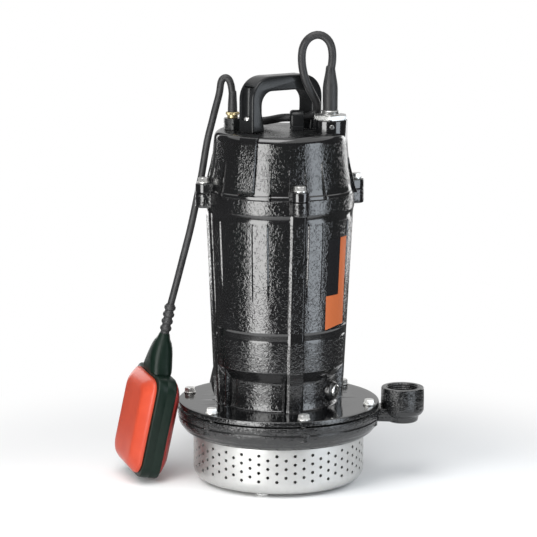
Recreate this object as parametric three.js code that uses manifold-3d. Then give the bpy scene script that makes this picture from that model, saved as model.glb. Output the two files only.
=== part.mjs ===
// Submersible sump pump with a cast casing, a pressed strainer and a float switch on a tether.
// Millimetres, +Z up. The origin is the pump's axis at floor level, and -Y is the front.
// An azimuth is counted in degrees from the front, positive to the right.

import * as THREE from 'three';
import { mergeGeometries, mergeVertices } from 'three/addons/utils/BufferGeometryUtils.js';
import Module from 'manifold-3d';

const wasm = await Module();
wasm.setup();

// ---- Driving dimensions ----

const seat = 0.3; // gap between a piece and what it rests on or fits in

// Strainer: a pressed stainless basket
const strainerRadius = 90.2;
const strainerHeight = 50.4;
const strainerWall = 1.5;
const strainerCornerRadius = 12;
const footHeight = 3.3; // strainer bottom above the floor
const dimpleRadius = 30; // pressed flat in the middle of the bottom, on the floor
const dimpleSlope = 6;
const strainerHoleRadius = 1.5;
const strainerHoleColumns = 30; // columns of the longer kind, with a shorter one midway
const strainerHoleRows = 4;
const strainerHolePitch = 9.1;
const strainerHoleLowest = 15.4; // lowest hole centre above the strainer's bottom
const strainerTurn = -1.1; // azimuth of a longer column
const strainerScrewCount = 3;
const strainerScrewInset = 18.2; // screw circle inside the strainer's wall
const strainerScrewTurn = -12.7;
const strainerScrewHeadRadius = 8;
const strainerScrewRadius = 3;

// Suction cover: closes the casing below and carries the strainer on three legs
const suctionFlangeInset = 6.2; // inside the strainer's wall
const suctionFlangeThickness = 4;
const suctionEyeRadius = 20;
const suctionLegRadius = 5.6;

// Pump casing: the volute with its discharge socket
const casingRadius = 107;
const casingFlare = 10; // rim beyond the foot
const casingHeight = 25.4;
const casingFloor = 4;
const casingMouthRadius = 62.3; // opening below, closed by the suction cover
const voluteInset = 27; // chamber inside the casing's rim
const casingLedgeWidth = 4.5; // ledge that carries the oil chamber cover
const casingLedgeThickness = 2;
const casingBossRadius = 9;
const outletOffset = 24; // socket axis beyond the casing's rim
const outletOuterRadius = 22.4;
const outletBoreRadius = 16.7; // one inch pipe thread
const outletRise = 14; // rim above the flange's top
const outletDepth = 33;
const outletFloor = 4;
const outletFootRadius = 16;
const outletFootTaper = 6;
const outletNeckWidth = 30;
const outletNeckStep = 2; // neck's underside above the socket's
const outletPassageRadius = 6.5;

// Motor housing: cast shell with the clamping flange
const gasketThickness = 0.6;
const gasketInset = 2; // inside the bolts, and outside the oil chamber's cover
const gasketWidth = 16;
const flangeStep = 1; // inside the casing's rim
const flangeThickness = 5.4;
const housingHeight = 223; // flange top to the seam with the top cover
const recessDepth = 8; // lower wall inside the belly, between the columns
const recessWall = 6.5;
const recessHeight = 42; // flange top to the underside of the housing's belly
const recessSlope = 12;
const housingTaper = 8.1; // top radius beyond the belly's
const bellyHeight = 36;
const bellyStep = 0.6;
const bellyTaper = 0.05; // growth of the radius with the height
const housingTopRadius = 76.6;
const housingCurve = 1.15; // 1 is a straight cone
const bandProud = 0.8;
const bandHeight = 15;
const housingWall = 8;
const columnWidth = 15.5;
const columnProud = 1.6; // column beyond the belly

// Lugs that clamp the top cover, and their bolts
const lugCount = 4;
const lugTurn = 14.2;
const lugProud = 13.1; // beyond the band
const lugWidth = 18;
const lugBoltOffset = 4.6; // beyond the band
const coverLugHeight = 10;
const housingLugHeight = 15;

// Hexagon bolts of the flange and the lugs
const boltRadius = 3;
const boltHeadFlats = 10;
const boltHeadHeight = 4;
const washerRadius = 6.6;
const washerThickness = 1.4;
const flangeBoltCount = 6;
const flangeBoltTurn = 15;
const flangeBoltInset = 8; // inside the flange's edge
const flangeBoltGrip = 13; // length below the flange

// Top cover
const coverHeight = 63.2;
const coverStep = 1.8; // skirt inside the band
const coverTaper = 6.5; // shoulder inside the skirt
const coverShoulder = 6.5;
const coverCrownWidth = 9.1; // flat inside the shoulder
const coverWall = 6;
const coverBandHeight = 4;
const coverCurve = 1.6; // 1 is a straight cone
const coverRibCount = 8;
const coverRibTurn = 36.7; // azimuth of the first rib
const coverRibHeight = 38; // above the cover's bottom
const coverRibWidth = 3.2;
const coverRibProud = 2.4;

// Oil plug on the lower wall
const plugTurn = 62;
const plugHeight = 16; // above the flange's top
const plugRadius = 6;
const plugShankRadius = 4;
const plugBossRadius = 10;
const plugBossProud = 5;
const plugHeadThickness = 3;

// Handle
const handleTurn = -54; // azimuth that its near leg points to
const handleLength = 90;
const handleWidth = 25;
const handleHeight = 57.4;
const handleLegThickness = 13;
const handleBarHeight = 15.5;
const handleCornerRadius = 24;
const handleChannelWidth = 9;
const handleChannelDepth = 8;
const handleFootHeight = 9.5;
const handleScrewRadius = 2.5;
const handleScrewHeadRadius = 4.2;
const handleScrewHeadHeight = 3;
const handlePadTurn = 26; // pad on the cover's side, past the handle's end
const handlePadWidth = 20;
const handlePadProud = 2.2;

// Power cord gland
const glandInset = 9; // inside the cover's flat
const glandY = -8;
const glandBossRadius = 18;
const glandBossHeight = 12.5; // above the cover's top
const glandBossDepth = 14; // below it, inside the cover
const glandNutFlats = 33;
const glandNutHeight = 4.6;
const glandCollarRadius = 9.6;
const glandCollarHeight = 4.5;
const cordBootRadius = 7.8;
const cordBootHeight = 42;
const glandScrewRadius = 3;
const glandScrewTurn = 5;
const glandScrewHeadHeight = 1.8;
const glandScrewLength = 5; // into the boss
const powerCordRadius = 4.25;

// Cord clamp on the cover
const clampX = 16;
const clampY = 3.5;
const clampLength = 12;
const clampWidth = 14;
const clampHeight = 20.4;
const clampBoreHeight = 12.2;

// Float switch gland
const floatGlandInset = 10; // inside the cover's flat
const floatBaseFlats = 17;
const floatBaseHeight = 11.9;
const floatNutRadius = 6.9;
const floatNutHeight = 6.2;
const floatBootRadius = 4.9;
const floatCordRadius = 3.75;
const floatCordReach = 9.4; // pivot of the tether beside the gland
const floatCordRise = 30.8; // and above the gland's nut

// Float
const floatDrop = 236; // float's top below the tether's pivot
const floatRest = 8.6; // its top beyond the flange's edge
const floatTilt = 11.5; // lean of the hanging float from the vertical
const floatTurn = -70; // azimuth that its broad face looks to
const floatLength = 114;
const floatWidth = 83;
const floatThickness = 43;
const floatRimThickness = 17.5;
const floatRimWall = 7;
const floatCornerRadius = 14;
const floatShellMargin = 3.5; // rim beyond the shell
const floatShellWall = 3;
const floatFaceWidth = 56;
const floatFaceInset = 13; // flat face inside the shell's outline, top and bottom
const floatNeckLength = 37;
const floatGrommetLength = 30;
const floatGrommetRadius = 6.05;
const floatGrommetRibs = 4;
const floatBallRadius = 9;
const floatBallTravel = 20;
const floatSwitchLength = 30;
const floatSwitchWidth = 28;

// Motor and pump internals
const shaftRadius = 7;
const impellerRadius = 54;
const impellerDisc = 3;
const impellerVaneHeight = 9.5;
const impellerVaneThickness = 3;
const impellerVaneCount = 6;
const impellerVaneSweep = 34; // degrees from root to tip
const impellerHubRadius = 12;
const impellerGap = 2; // under the vanes
const impellerNutFlats = 17;
const impellerNutHeight = 6;
const oilCoverThickness = 4;
const oilSpigotHeight = 8;
const sealRadius = 16;
const sealSeatHeight = 7;
const sealHeadRadius = 13;
const sealHeadHeight = 14;
const bearingRadius = 16.7;
const bearingWidth = 11.4;
const bearingHubRadius = 24;
const bearingLip = 2;
const webThickness = 8;
const statorShelf = 6.9; // inside the housing's upper bore
const statorBore = 31.8;
const windingClearance = 19; // winding's top below the bracket's seat
const statorBase = 26; // above the web
const windingInnerRadius = 36;
const windingInset = 5.7; // inside the stator's rim
const windingHeight = 19;
const rotorRadius = 31;
const rotorInset = 4; // rotor inside the stator, at each end
const bracketDrop = 19; // bracket's seat below the seam
const bracketThickness = 6;
const capacitorRadius = 18;
const capacitorHeight = 60;
const capacitorInset = 17; // axis inside the cover's flat
const ringWidth = 3.2; // seal ring in a rebate of the housing's top face
const ringHeight = 2.6;

// Plug and coil of the power cord
const coilX = 0;
const coilY = 200;
const coilMeanRadius = 51;
const coilTurnsWide = 4;
const coilTurnsHigh = 3;
const plugBootLength = 22;
const plugBodyLength = 40;
const plugBodyWidth = 28;
const plugBodyThickness = 24;
const bladeLength = 17.5;
const bladeWidth = 6.3;
const bladeThickness = 1.5;
const bladeSpacing = 12.7;
const bladeRise = 4.5; // blades above the plug's middle
const groundPinRadius = 2.4;
const groundPinLength = 20.5;
const groundPinOffset = 11.9;

// ---- Radii that follow from them ----

const strainerScrewCircle = strainerRadius - strainerScrewInset;
const suctionFlangeRadius = strainerRadius - suctionFlangeInset;
const casingFootRadius = casingRadius - casingFlare;
const outletReach = casingRadius + outletOffset;
const flangeRadius = casingRadius - flangeStep;
const flangeBoltCircle = flangeRadius - flangeBoltInset;
const voluteRadius = casingRadius - voluteInset;
const gasketOuterRadius = flangeBoltCircle - boltRadius - gasketInset;
const gasketInnerRadius = gasketOuterRadius - gasketWidth;
const oilCoverRadius = gasketInnerRadius - gasketInset;
const casingLedgeRadius = oilCoverRadius - casingLedgeWidth;
const bellyRadius = housingTopRadius - housingTaper;
const recessRadius = bellyRadius - recessDepth;
const bandRadius = housingTopRadius + bandProud;
const lugReach = bandRadius + lugProud;
const lugBoltCircle = bandRadius + lugBoltOffset;
const coverSkirtRadius = bandRadius - coverStep;
const coverShoulderRadius = coverSkirtRadius - coverTaper;
const coverFlatRadius = coverShoulderRadius - coverCrownWidth;
const glandX = coverFlatRadius - glandInset;
const floatGlandX = floatGlandInset - coverFlatRadius;
const capacitorY = coverFlatRadius - capacitorInset;
const statorRadius = housingTopRadius - housingWall - statorShelf;
const windingOuterRadius = statorRadius - windingInset;

// ---- Levels, from the floor up ----

const casingBottom = footHeight + strainerHeight + seat;
const casingTop = casingBottom + casingHeight;
const gasketBottom = casingTop + seat;
const flangeBottom = gasketBottom + gasketThickness + seat;
const flangeTop = flangeBottom + flangeThickness;
const bellyBottom = flangeTop + recessHeight;
const bellyTop = bellyBottom + bellyHeight;
const seam = flangeTop + housingHeight;
const coverBottom = seam + seat;
const coverTop = coverBottom + coverHeight;
const webTop = bellyBottom + webThickness;
const bracketSeat = seam - bracketDrop;
const statorBottom = webTop + statorBase;
const statorHeight = bracketSeat - windingClearance - windingHeight - statorBottom;
const oilCoverBottom = casingTop - oilCoverThickness + seat;
const ringOuterRadius = housingTopRadius - housingWall + ringWidth + seat;

// ---- Materials ----

const metal = (color, roughness) => new THREE.MeshStandardMaterial({ color, roughness, metalness: 1 });
const dull = (color, roughness) => new THREE.MeshStandardMaterial({ color, roughness, metalness: 0 });
const blackPaint = dull(0x16171a, 0.25);
const stainless = metal(0xc9c7c2, 0.35);
const polishedSteel = metal(0xd6d6d4, 0.15);
const steel = metal(0x9a9a9c, 0.4);
const castIron = metal(0x55565a, 0.6);
const brass = metal(0xc9a55a, 0.3);
const copper = metal(0xb5672f, 0.4);
const blackPlastic = dull(0x1b1b1d, 0.45);
const blackRubber = dull(0x232425, 0.6);
const rimPlastic = dull(0x1c2422, 0.4);
const floatRed = dull(0xcd4b32, 0.4);
const ceramic = dull(0xd8d4c8, 0.5);
const paleCan = metal(0xb8bcc0, 0.35);

// ---- Shape helpers ----

const rad = THREE.MathUtils.degToRad;
const at = (radius, azimuth) => [radius * Math.sin(rad(azimuth)), -radius * Math.cos(rad(azimuth))];
const hexCorner = (flats) => flats / Math.sqrt(3);

// Merges the shared vertices, drops empty triangles and turns the faces outwards.
function closed(geometry) {
  const bare = geometry.clone();
  bare.deleteAttribute('normal');
  bare.deleteAttribute('uv');
  const merged = mergeVertices(bare, 1e-4);
  const corner = merged.attributes.position;
  const [a, b, c] = [new THREE.Vector3(), new THREE.Vector3(), new THREE.Vector3()];
  const kept = [];
  let volume = 0;
  for (let i = 0; i < merged.index.count; i += 3) {
    const [p, q, r] = [0, 1, 2].map((k) => merged.index.getX(i + k));
    if (p === q || q === r || r === p) continue;
    kept.push([p, q, r]);
    a.fromBufferAttribute(corner, p);
    b.fromBufferAttribute(corner, q);
    c.fromBufferAttribute(corner, r);
    volume += a.dot(b.cross(c));
  }
  merged.setIndex(kept.flatMap(([p, q, r]) => (volume < 0 ? [p, r, q] : [p, q, r])));
  return merged;
}

function solid(geometry) {
  const mesh = closed(geometry);
  const vertProperties = new Float32Array(mesh.attributes.position.array);
  const triVerts = new Uint32Array(mesh.index.array);
  return new wasm.Manifold(new wasm.Mesh({ numProp: 3, vertProperties, triVerts }));
}

function surface(body) {
  const { vertProperties, triVerts } = body.getMesh();
  const geometry = new THREE.BufferGeometry();
  geometry.setAttribute('position', new THREE.BufferAttribute(vertProperties, 3));
  geometry.setIndex(new THREE.BufferAttribute(triVerts, 1));
  return geometry;
}

const joined = (...geometries) => surface(geometries.map(solid).reduce((all, one) => all.add(one)));
const cut = (geometry, ...tools) =>
  surface(tools.map(solid).reduce((all, one) => all.subtract(one), solid(geometry)));

// A profile of [radius, height] points turned about the vertical axis.
function turned(points, segments = 36) {
  const onAxis = points[0][0] === 0 && points.at(-1)[0] === 0;
  const loop = onAxis ? points : [...points, points[0]];
  const lathe = new THREE.LatheGeometry(loop.map(([r, z]) => new THREE.Vector2(r, z)), segments);
  return closed(lathe.rotateX(Math.PI / 2));
}

const ring = (inner, outer, bottom, top, segments = 24) =>
  turned([[inner, bottom], [outer, bottom], [outer, top], [inner, top]], segments);

function drum(radius, bottom, top, x = 0, y = 0, segments = 16) {
  const cylinder = new THREE.CylinderGeometry(radius, radius, top - bottom, segments);
  return cylinder.rotateX(Math.PI / 2).translate(x, y, (bottom + top) / 2);
}

function block(x0, x1, y0, y1, z0, z1) {
  const box = new THREE.BoxGeometry(x1 - x0, y1 - y0, z1 - z0);
  return box.translate((x0 + x1) / 2, (y0 + y1) / 2, (z0 + z1) / 2);
}

// A flat outline of [x, y] points raised along +Z.
function prism(points, height, bottom = 0) {
  const drawn = points instanceof THREE.Shape;
  const shape = drawn ? points : new THREE.Shape(points.map(([x, y]) => new THREE.Vector2(x, y)));
  const raised = new THREE.ExtrudeGeometry(shape, { depth: height, bevelEnabled: false, curveSegments: 3 });
  return raised.translate(0, 0, bottom);
}

// A plate standing upright along an azimuth, drawn as [radius, height] points.
function upright(points, width, azimuth) {
  const plate = prism(points, width, -width / 2);
  return plate.rotateX(Math.PI / 2).rotateZ(rad(azimuth - 90));
}

function hexagon(flats, bottom, top, turn = 0) {
  return drum(hexCorner(flats), bottom, top, 0, 0, 6).rotateZ(rad(turn));
}

// A rod lying along an azimuth between two radii.
function spoke(radius, inner, outer, azimuth, height, segments = 12) {
  const rod = drum(radius, inner, outer, 0, 0, segments);
  return rod.rotateX(Math.PI / 2).rotateZ(rad(azimuth)).translate(0, 0, height);
}

// Rings of equally many points, skinned one after the other and closed at both ends.
function loft(rings) {
  const count = rings[0].length;
  const index = [];
  for (let k = 0; k + 1 < rings.length; k += 1) {
    for (let i = 0; i < count; i += 1) {
      const [p, q] = [k * count + i, k * count + ((i + 1) % count)];
      index.push(p, q, q + count, p, q + count, p + count);
    }
  }
  const last = (rings.length - 1) * count;
  for (let i = 1; i + 1 < count; i += 1) {
    index.push(0, i + 1, i, last, last + i, last + i + 1);
  }
  const geometry = new THREE.BufferGeometry();
  geometry.setAttribute('position', new THREE.Float32BufferAttribute(rings.flat(2), 3));
  geometry.setIndex(index);
  return closed(geometry);
}

function roundedOutline(width, height, radius) {
  const [w, h] = [width / 2 - radius, height / 2 - radius];
  const shape = new THREE.Shape();
  shape.absarc(w, h, radius, 0, rad(90));
  shape.absarc(-w, h, radius, rad(90), rad(180));
  shape.absarc(-w, -h, radius, rad(180), rad(270));
  shape.absarc(w, -h, radius, rad(270), rad(360));
  return shape;
}

const roundedRing = (width, height, radius, level) =>
  roundedOutline(width, height, radius).getPoints(2).slice(0, -1).map((p) => [p.x, p.y, level]);

// A cord along its route: a tube with a step every few diameters.
function cordTube(points, radius, step) {
  const curve = new THREE.CatmullRomCurve3(points.map((p) => new THREE.Vector3(...p)), false, 'centripetal');
  const section = new THREE.Shape();
  for (let i = 0; i < 8; i += 1) {
    const angle = (i / 8) * 2 * Math.PI;
    section[i ? 'lineTo' : 'moveTo'](radius * Math.cos(angle), radius * Math.sin(angle));
  }
  const steps = Math.round(curve.getLength() / step);
  return new THREE.ExtrudeGeometry(section, { steps, extrudePath: curve, bevelEnabled: false });
}

// ---- Assembly ----

const pump = new THREE.Group();

function add(name, geometry, material, home = pump) {
  const mesh = new THREE.Mesh(geometry, material);
  mesh.name = name;
  home.add(mesh);
  return mesh;
}

const spread = (count, first) => Array.from({ length: count }, (_, i) => first + (i * 360) / count);

// ---- Strainer and its screws ----

const strainerScrewAt = spread(strainerScrewCount, strainerScrewTurn);

function strainer() {
  const [r, t, c] = [strainerRadius, strainerWall, strainerCornerRadius];
  const bottom = footHeight;
  const top = footHeight + strainerHeight;
  const corner = (radius) =>
    [0, 45, 90].map((a) => [r - c + radius * Math.sin(rad(a)), bottom + c - radius * Math.cos(rad(a))]);
  const outside = [[0, 0], [dimpleRadius, 0], [dimpleRadius + dimpleSlope, bottom], ...corner(c), [r, top]];
  const inside = [[r - t, top], ...corner(c - t).reverse(), [dimpleRadius + dimpleSlope, bottom + t],
    [dimpleRadius, t], [0, t]];
  const facets = 2 * strainerHoleColumns;
  const turn = strainerTurn - 180 / facets;
  const basket = turned([...outside, ...inside], facets).rotateZ(rad(turn));

  const punches = [];
  for (let column = 0; column < facets; column += 1) {
    const short = column % 2;
    const azimuth = strainerTurn + (column * 360) / facets;
    for (let row = 0; row < strainerHoleRows - short; row += 1) {
      const height = bottom + strainerHoleLowest + (row + short / 2) * strainerHolePitch;
      punches.push(spoke(strainerHoleRadius, r - 3 * t, r + 2 * t, azimuth, height, 4));
    }
  }
  const screwHoles = strainerScrewAt.map((azimuth) =>
    drum(strainerScrewRadius + seat, -1, bottom + 2 * t, ...at(strainerScrewCircle, azimuth), 8));
  return cut(basket, mergeGeometries(punches), ...screwHoles);
}

add('strainer', strainer(), stainless);

const legBottom = footHeight + strainerWall + seat;
strainerScrewAt.forEach((azimuth, i) => {
  const grip = legBottom + suctionLegRadius;
  const head = turned([[0, 0], [strainerScrewHeadRadius - 1.5, 0], [strainerScrewHeadRadius, 1],
    [strainerScrewHeadRadius, footHeight - seat], [strainerScrewRadius, footHeight - seat],
    [strainerScrewRadius, grip - seat], [0, grip - seat]], 8);
  const [x, y] = at(strainerScrewCircle, azimuth);
  add(`strainer_screw_${i + 1}`, head.translate(x, y, 0), stainless);
});

// ---- Suction cover ----

function suctionCover() {
  const top = casingBottom - seat;
  const plate = turned([[suctionEyeRadius, top - suctionFlangeThickness],
    [suctionFlangeRadius, top - suctionFlangeThickness], [suctionFlangeRadius, top],
    [casingMouthRadius - seat, top], [casingMouthRadius - seat, casingBottom + casingFloor],
    [suctionEyeRadius, casingBottom + casingFloor]], 30);
  const legs = strainerScrewAt.map((azimuth) =>
    drum(suctionLegRadius, legBottom, top - 1, ...at(strainerScrewCircle, azimuth), 10));
  const threads = strainerScrewAt.map((azimuth) =>
    drum(strainerScrewRadius + seat, 0, legBottom + suctionLegRadius, ...at(strainerScrewCircle, azimuth), 8));
  return cut(joined(plate, ...legs), ...threads);
}

add('suction_cover', suctionCover(), castIron);

// ---- Pump casing ----

const flangeBoltAt = spread(flangeBoltCount, flangeBoltTurn);
const outletTop = flangeTop + outletRise;
const outletBottom = outletTop - outletDepth - outletFloor;
const passageHeight = casingTop - 1.2 * outletPassageRadius;

function pumpCasing() {
  const flare = casingRadius - casingFootRadius;
  const wall = [0, 30, 60, 90].map((a) =>
    [casingFootRadius + flare * Math.sin(rad(a)), casingBottom + 0.6 * casingHeight * (1 - Math.cos(rad(a)))]);
  const ledgeTop = oilCoverBottom - seat;
  const ledgeBottom = ledgeTop - casingLedgeThickness;
  const bowl = turned([[casingMouthRadius, casingBottom], ...wall, [casingRadius, casingTop],
    [oilCoverRadius + seat, casingTop], [oilCoverRadius + seat, ledgeTop], [casingLedgeRadius, ledgeTop],
    [casingLedgeRadius, ledgeBottom], [voluteRadius, ledgeBottom], [voluteRadius, casingBottom + casingFloor],
    [casingMouthRadius, casingBottom + casingFloor]]);
  const bossBottom = casingTop - flangeBoltGrip - 3;
  const bosses = flangeBoltAt.map((azimuth) =>
    drum(casingBossRadius, bossBottom, casingTop - 1, ...at(casingRadius - casingBossRadius, azimuth), 10));
  const socket = turned([[0, outletBottom], [outletFootRadius, outletBottom],
    [outletOuterRadius, outletBottom + outletFootTaper], [outletOuterRadius, outletTop], [0, outletTop]], 32)
    .translate(outletReach, 0, 0);
  const neck = block(voluteRadius + 4, outletReach, -outletNeckWidth / 2, outletNeckWidth / 2,
    outletBottom + outletNeckStep, casingTop - 0.5);
  const bore = drum(outletBoreRadius, outletBottom + outletFloor, outletTop + 1, outletReach, 0, 32);
  const passage = spoke(outletPassageRadius, voluteRadius - 12, outletReach, 90, passageHeight, 12);
  const threads = flangeBoltAt.map((azimuth) =>
    drum(boltRadius + seat, casingTop - flangeBoltGrip, casingTop + 1, ...at(flangeBoltCircle, azimuth), 8));
  return cut(joined(bowl, ...bosses, socket, neck), bore, passage, ...threads);
}

add('pump_casing', pumpCasing(), blackPaint);
add('casing_gasket', ring(gasketInnerRadius, gasketOuterRadius, gasketBottom, gasketBottom + gasketThickness),
  blackRubber);

// ---- Oil chamber cover and shaft seal ----

const oilCoverTop = flangeBottom - seat;
add('oil_chamber_cover', turned([[sealRadius + seat, oilCoverBottom], [oilCoverRadius, oilCoverBottom],
  [oilCoverRadius, oilCoverTop], [recessRadius - recessWall - seat, oilCoverTop],
  [recessRadius - recessWall - seat, oilCoverTop + oilSpigotHeight],
  [sealRadius + seat, oilCoverTop + oilSpigotHeight]], 24), castIron);

const sealTop = oilCoverBottom + sealSeatHeight;
add('seal_stationary_ring', ring(shaftRadius + 2 * seat, sealRadius, oilCoverBottom, sealTop, 20), ceramic);

// ---- Motor housing ----

const lugAt = spread(lugCount, lugTurn);
const bearingBottom = bellyBottom + bearingLip + seat;

function lug(azimuth, bottom, top) {
  const [half, inner] = [lugWidth / 2, housingTopRadius - housingWall / 2];
  const shape = new THREE.Shape();
  shape.moveTo(-half, inner);
  shape.lineTo(half, inner);
  shape.lineTo(half, lugReach - half);
  shape.absarc(0, lugReach - half, half, 0, Math.PI);
  return prism(shape, top - bottom, bottom).rotateZ(rad(azimuth - 180));
}

function housingRadius(height) {
  const share = (height - bellyTop) / (seam - bandHeight - bellyTop);
  const start = bellyRadius + bellyHeight * bellyTaper;
  return start + (housingTopRadius - start) * share ** housingCurve;
}

function motorHousing() {
  const sideLevels = [0, 0.33, 0.67, 1].map((u) => bellyTop + 3 + u * (seam - bandHeight - bellyTop - 3));
  const boreRadius = statorRadius + seat;
  const upperRadius = housingTopRadius - housingWall;
  const shell = turned([
    [recessRadius - recessWall, flangeBottom], [flangeRadius, flangeBottom],
    [flangeRadius, flangeTop - 1.2], [flangeRadius - 1.2, flangeTop],
    [recessRadius, flangeTop], [recessRadius, bellyBottom - recessSlope], [bellyRadius, bellyBottom],
    [bellyRadius + bellyHeight * bellyTaper + bellyStep, bellyTop],
    ...sideLevels.map((level) => [housingRadius(level), level]),
    [bandRadius, seam - bandHeight + 1], [bandRadius, seam], [ringOuterRadius + seat, seam],
    [ringOuterRadius + seat, seam - ringHeight - seat], [upperRadius, seam - ringHeight - seat],
    [upperRadius, bracketSeat], [upperRadius - 3, bracketSeat],
    [upperRadius - 3, statorBottom + statorHeight + 2], [boreRadius, statorBottom + statorHeight - 2],
    [boreRadius, statorBottom], [boreRadius - 3, statorBottom - seat], [boreRadius - 3, webTop],
    [bearingHubRadius, webTop], [bearingHubRadius, bearingBottom + bearingWidth],
    [bearingRadius + seat, bearingBottom + bearingWidth], [bearingRadius + seat, bearingBottom - seat],
    [bearingRadius - 5, bearingBottom - seat], [bearingRadius - 5, bellyBottom],
    [recessRadius - recessWall, bellyBottom]]);
  const columnFoot = bellyRadius + columnProud;
  const columnTop = seam - housingLugHeight + 1;
  const columns = lugAt.map((azimuth) => upright([[recessRadius - 2, flangeTop - 1],
    [columnFoot - 2, flangeTop - 1], [columnFoot, bellyBottom], [housingTopRadius + columnProud, columnTop],
    [housingTopRadius - 4, columnTop], [bellyRadius - 4, bellyBottom + 4]], columnWidth, azimuth));
  const lugs = lugAt.map((azimuth) => lug(azimuth, seam - housingLugHeight, seam));
  const oilBoss = spoke(plugBossRadius, recessRadius - 3, recessRadius + plugBossProud, plugTurn,
    flangeTop + plugHeight, 16);
  const oilHole = spoke(plugShankRadius + seat, recessRadius - recessWall - 4, recessRadius + plugBossProud + 1,
    plugTurn, flangeTop + plugHeight, 12);
  const lugHoles = lugAt.map((azimuth) =>
    drum(boltRadius + seat, seam - housingLugHeight - 1, seam + 1, ...at(lugBoltCircle, azimuth), 8));
  const flangeHoles = flangeBoltAt.map((azimuth) =>
    drum(boltRadius + seat, flangeBottom - 1, flangeTop + 1, ...at(flangeBoltCircle, azimuth), 8));
  return cut(joined(shell, ...columns, ...lugs, oilBoss), oilHole, ...lugHoles, ...flangeHoles);
}

add('motor_housing', motorHousing(), blackPaint);

function oilPlug() {
  const face = recessRadius + plugBossProud + seat;
  const head = spoke(plugRadius, face, face + plugHeadThickness, plugTurn, flangeTop + plugHeight, 16);
  const shank = spoke(plugShankRadius, recessRadius - recessWall + 1, face + 1, plugTurn,
    flangeTop + plugHeight, 12);
  const slot = block(-0.8, 0.8, -face - plugHeadThickness - 1, -face - plugHeadThickness + 1.2, -8, 8)
    .rotateZ(rad(plugTurn)).translate(0, 0, flangeTop + plugHeight);
  return cut(joined(head, shank), slot);
}

add('oil_plug', oilPlug(), stainless);

// ---- Hexagon bolts ----

// A bolt with its washer: the underside of the washer is at z = 0.
function hexBolt(grip) {
  const washer = drum(washerRadius, 0, washerThickness, 0, 0, 12);
  const head = hexagon(boltHeadFlats, washerThickness - 0.2, washerThickness + boltHeadHeight);
  const shank = drum(boltRadius, -grip, 0.5, 0, 0, 8);
  return joined(washer, head, shank);
}

const flangeBolt = hexBolt(flangeBoltGrip - 1 + flangeTop - casingTop);
flangeBoltAt.forEach((azimuth, i) => {
  const bolt = add(`flange_bolt_${i + 1}`, flangeBolt, stainless);
  bolt.position.set(...at(flangeBoltCircle, azimuth), flangeTop + seat);
});

// ---- Rotor: shaft, rotor core, impeller, nut and seal head ----

const impellerBottom = casingBottom + casingFloor + impellerGap;
const impellerTop = impellerBottom + impellerVaneHeight + impellerDisc;
const nutTop = impellerBottom + impellerNutHeight;
const shaftTop = bracketSeat + seat + 1;

add('shaft', drum(shaftRadius, impellerBottom - 1.5, shaftTop, 0, 0, 20), steel);
add('rotor_core', ring(shaftRadius + seat, rotorRadius, statorBottom + rotorInset,
  statorBottom + statorHeight - rotorInset, 20), steel);

function impeller() {
  const bore = shaftRadius + seat;
  const discBottom = impellerBottom + impellerVaneHeight;
  const wheel = turned([[bore, nutTop + seat], [impellerHubRadius, nutTop + seat],
    [impellerHubRadius, discBottom], [impellerRadius, discBottom], [impellerRadius, impellerTop],
    [bore, impellerTop]], 20);
  const sweep = [0, 0.5, 1].map((u) => [impellerHubRadius + 3 + u * (impellerRadius - impellerHubRadius - 4),
    impellerVaneSweep * u]);
  const [front, back] = [0, 1].map((side) => sweep.map(([r, a]) => {
    const turn = a + side * THREE.MathUtils.radToDeg(impellerVaneThickness / r);
    return at(r, turn);
  }));
  const vanes = spread(impellerVaneCount, 0).map((turn) =>
    prism([...front, ...back.reverse()], impellerVaneHeight + 1, impellerBottom).rotateZ(rad(turn)));
  return joined(wheel, ...vanes);
}

add('impeller', impeller(), brass);
add('impeller_nut', cut(hexagon(impellerNutFlats, impellerBottom, nutTop),
  drum(shaftRadius + seat, impellerBottom - 1, nutTop + 1, 0, 0, 20)), stainless);
add('seal_rotating_head', turned([[shaftRadius + seat, sealTop + seat], [sealHeadRadius, sealTop + seat],
  [sealHeadRadius, sealTop + 4], [sealHeadRadius - 2, sealTop + 5],
  [sealHeadRadius - 2, sealTop + sealHeadHeight], [shaftRadius + seat, sealTop + sealHeadHeight]], 20),
ceramic);

// ---- Bearings, stator, bracket and capacitor ----

const bearing = (bottom) => ring(shaftRadius + seat, bearingRadius, bottom, bottom + bearingWidth, 20);
const upperBearingBottom = bracketSeat + seat - bearingWidth / 2;
add('lower_bearing', bearing(bearingBottom), steel);
add('upper_bearing', bearing(upperBearingBottom), steel);
const statorTop = statorBottom + statorHeight;
add('stator_core', ring(statorBore, statorRadius, statorBottom + seat, statorTop - 2 * seat), steel);
add('winding_lower', ring(windingInnerRadius, windingOuterRadius, statorBottom - windingHeight, statorBottom),
  copper);
add('winding_upper', ring(windingInnerRadius, windingOuterRadius, statorTop, statorTop + windingHeight),
  copper);

const bracketBottom = bracketSeat + seat;
const bracketTop = bracketBottom + bracketThickness;
const bearingTop = upperBearingBottom + bearingWidth;
const hubTop = bearingTop + 3;
const bracketRadius = housingTopRadius - housingWall - seat;
const bracket = turned([[bearingRadius + seat, upperBearingBottom - 1],
  [bearingHubRadius, upperBearingBottom - 1], [bearingHubRadius, bracketBottom],
  [bracketRadius, bracketBottom], [bracketRadius, bracketTop], [bearingHubRadius, bracketTop],
  [bearingHubRadius, hubTop], [bearingRadius - 5, hubTop], [bearingRadius - 5, bearingTop + seat],
  [bearingRadius + seat, bearingTop + seat]], 24);
const capacitorPad = drum(capacitorRadius - 2, bracketTop - 1, hubTop, 0, capacitorY, 20);
add('bearing_bracket', joined(bracket, capacitorPad), castIron);
add('capacitor', drum(capacitorRadius, hubTop + seat, hubTop + seat + capacitorHeight, 0, capacitorY, 20),
  paleCan);
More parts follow.
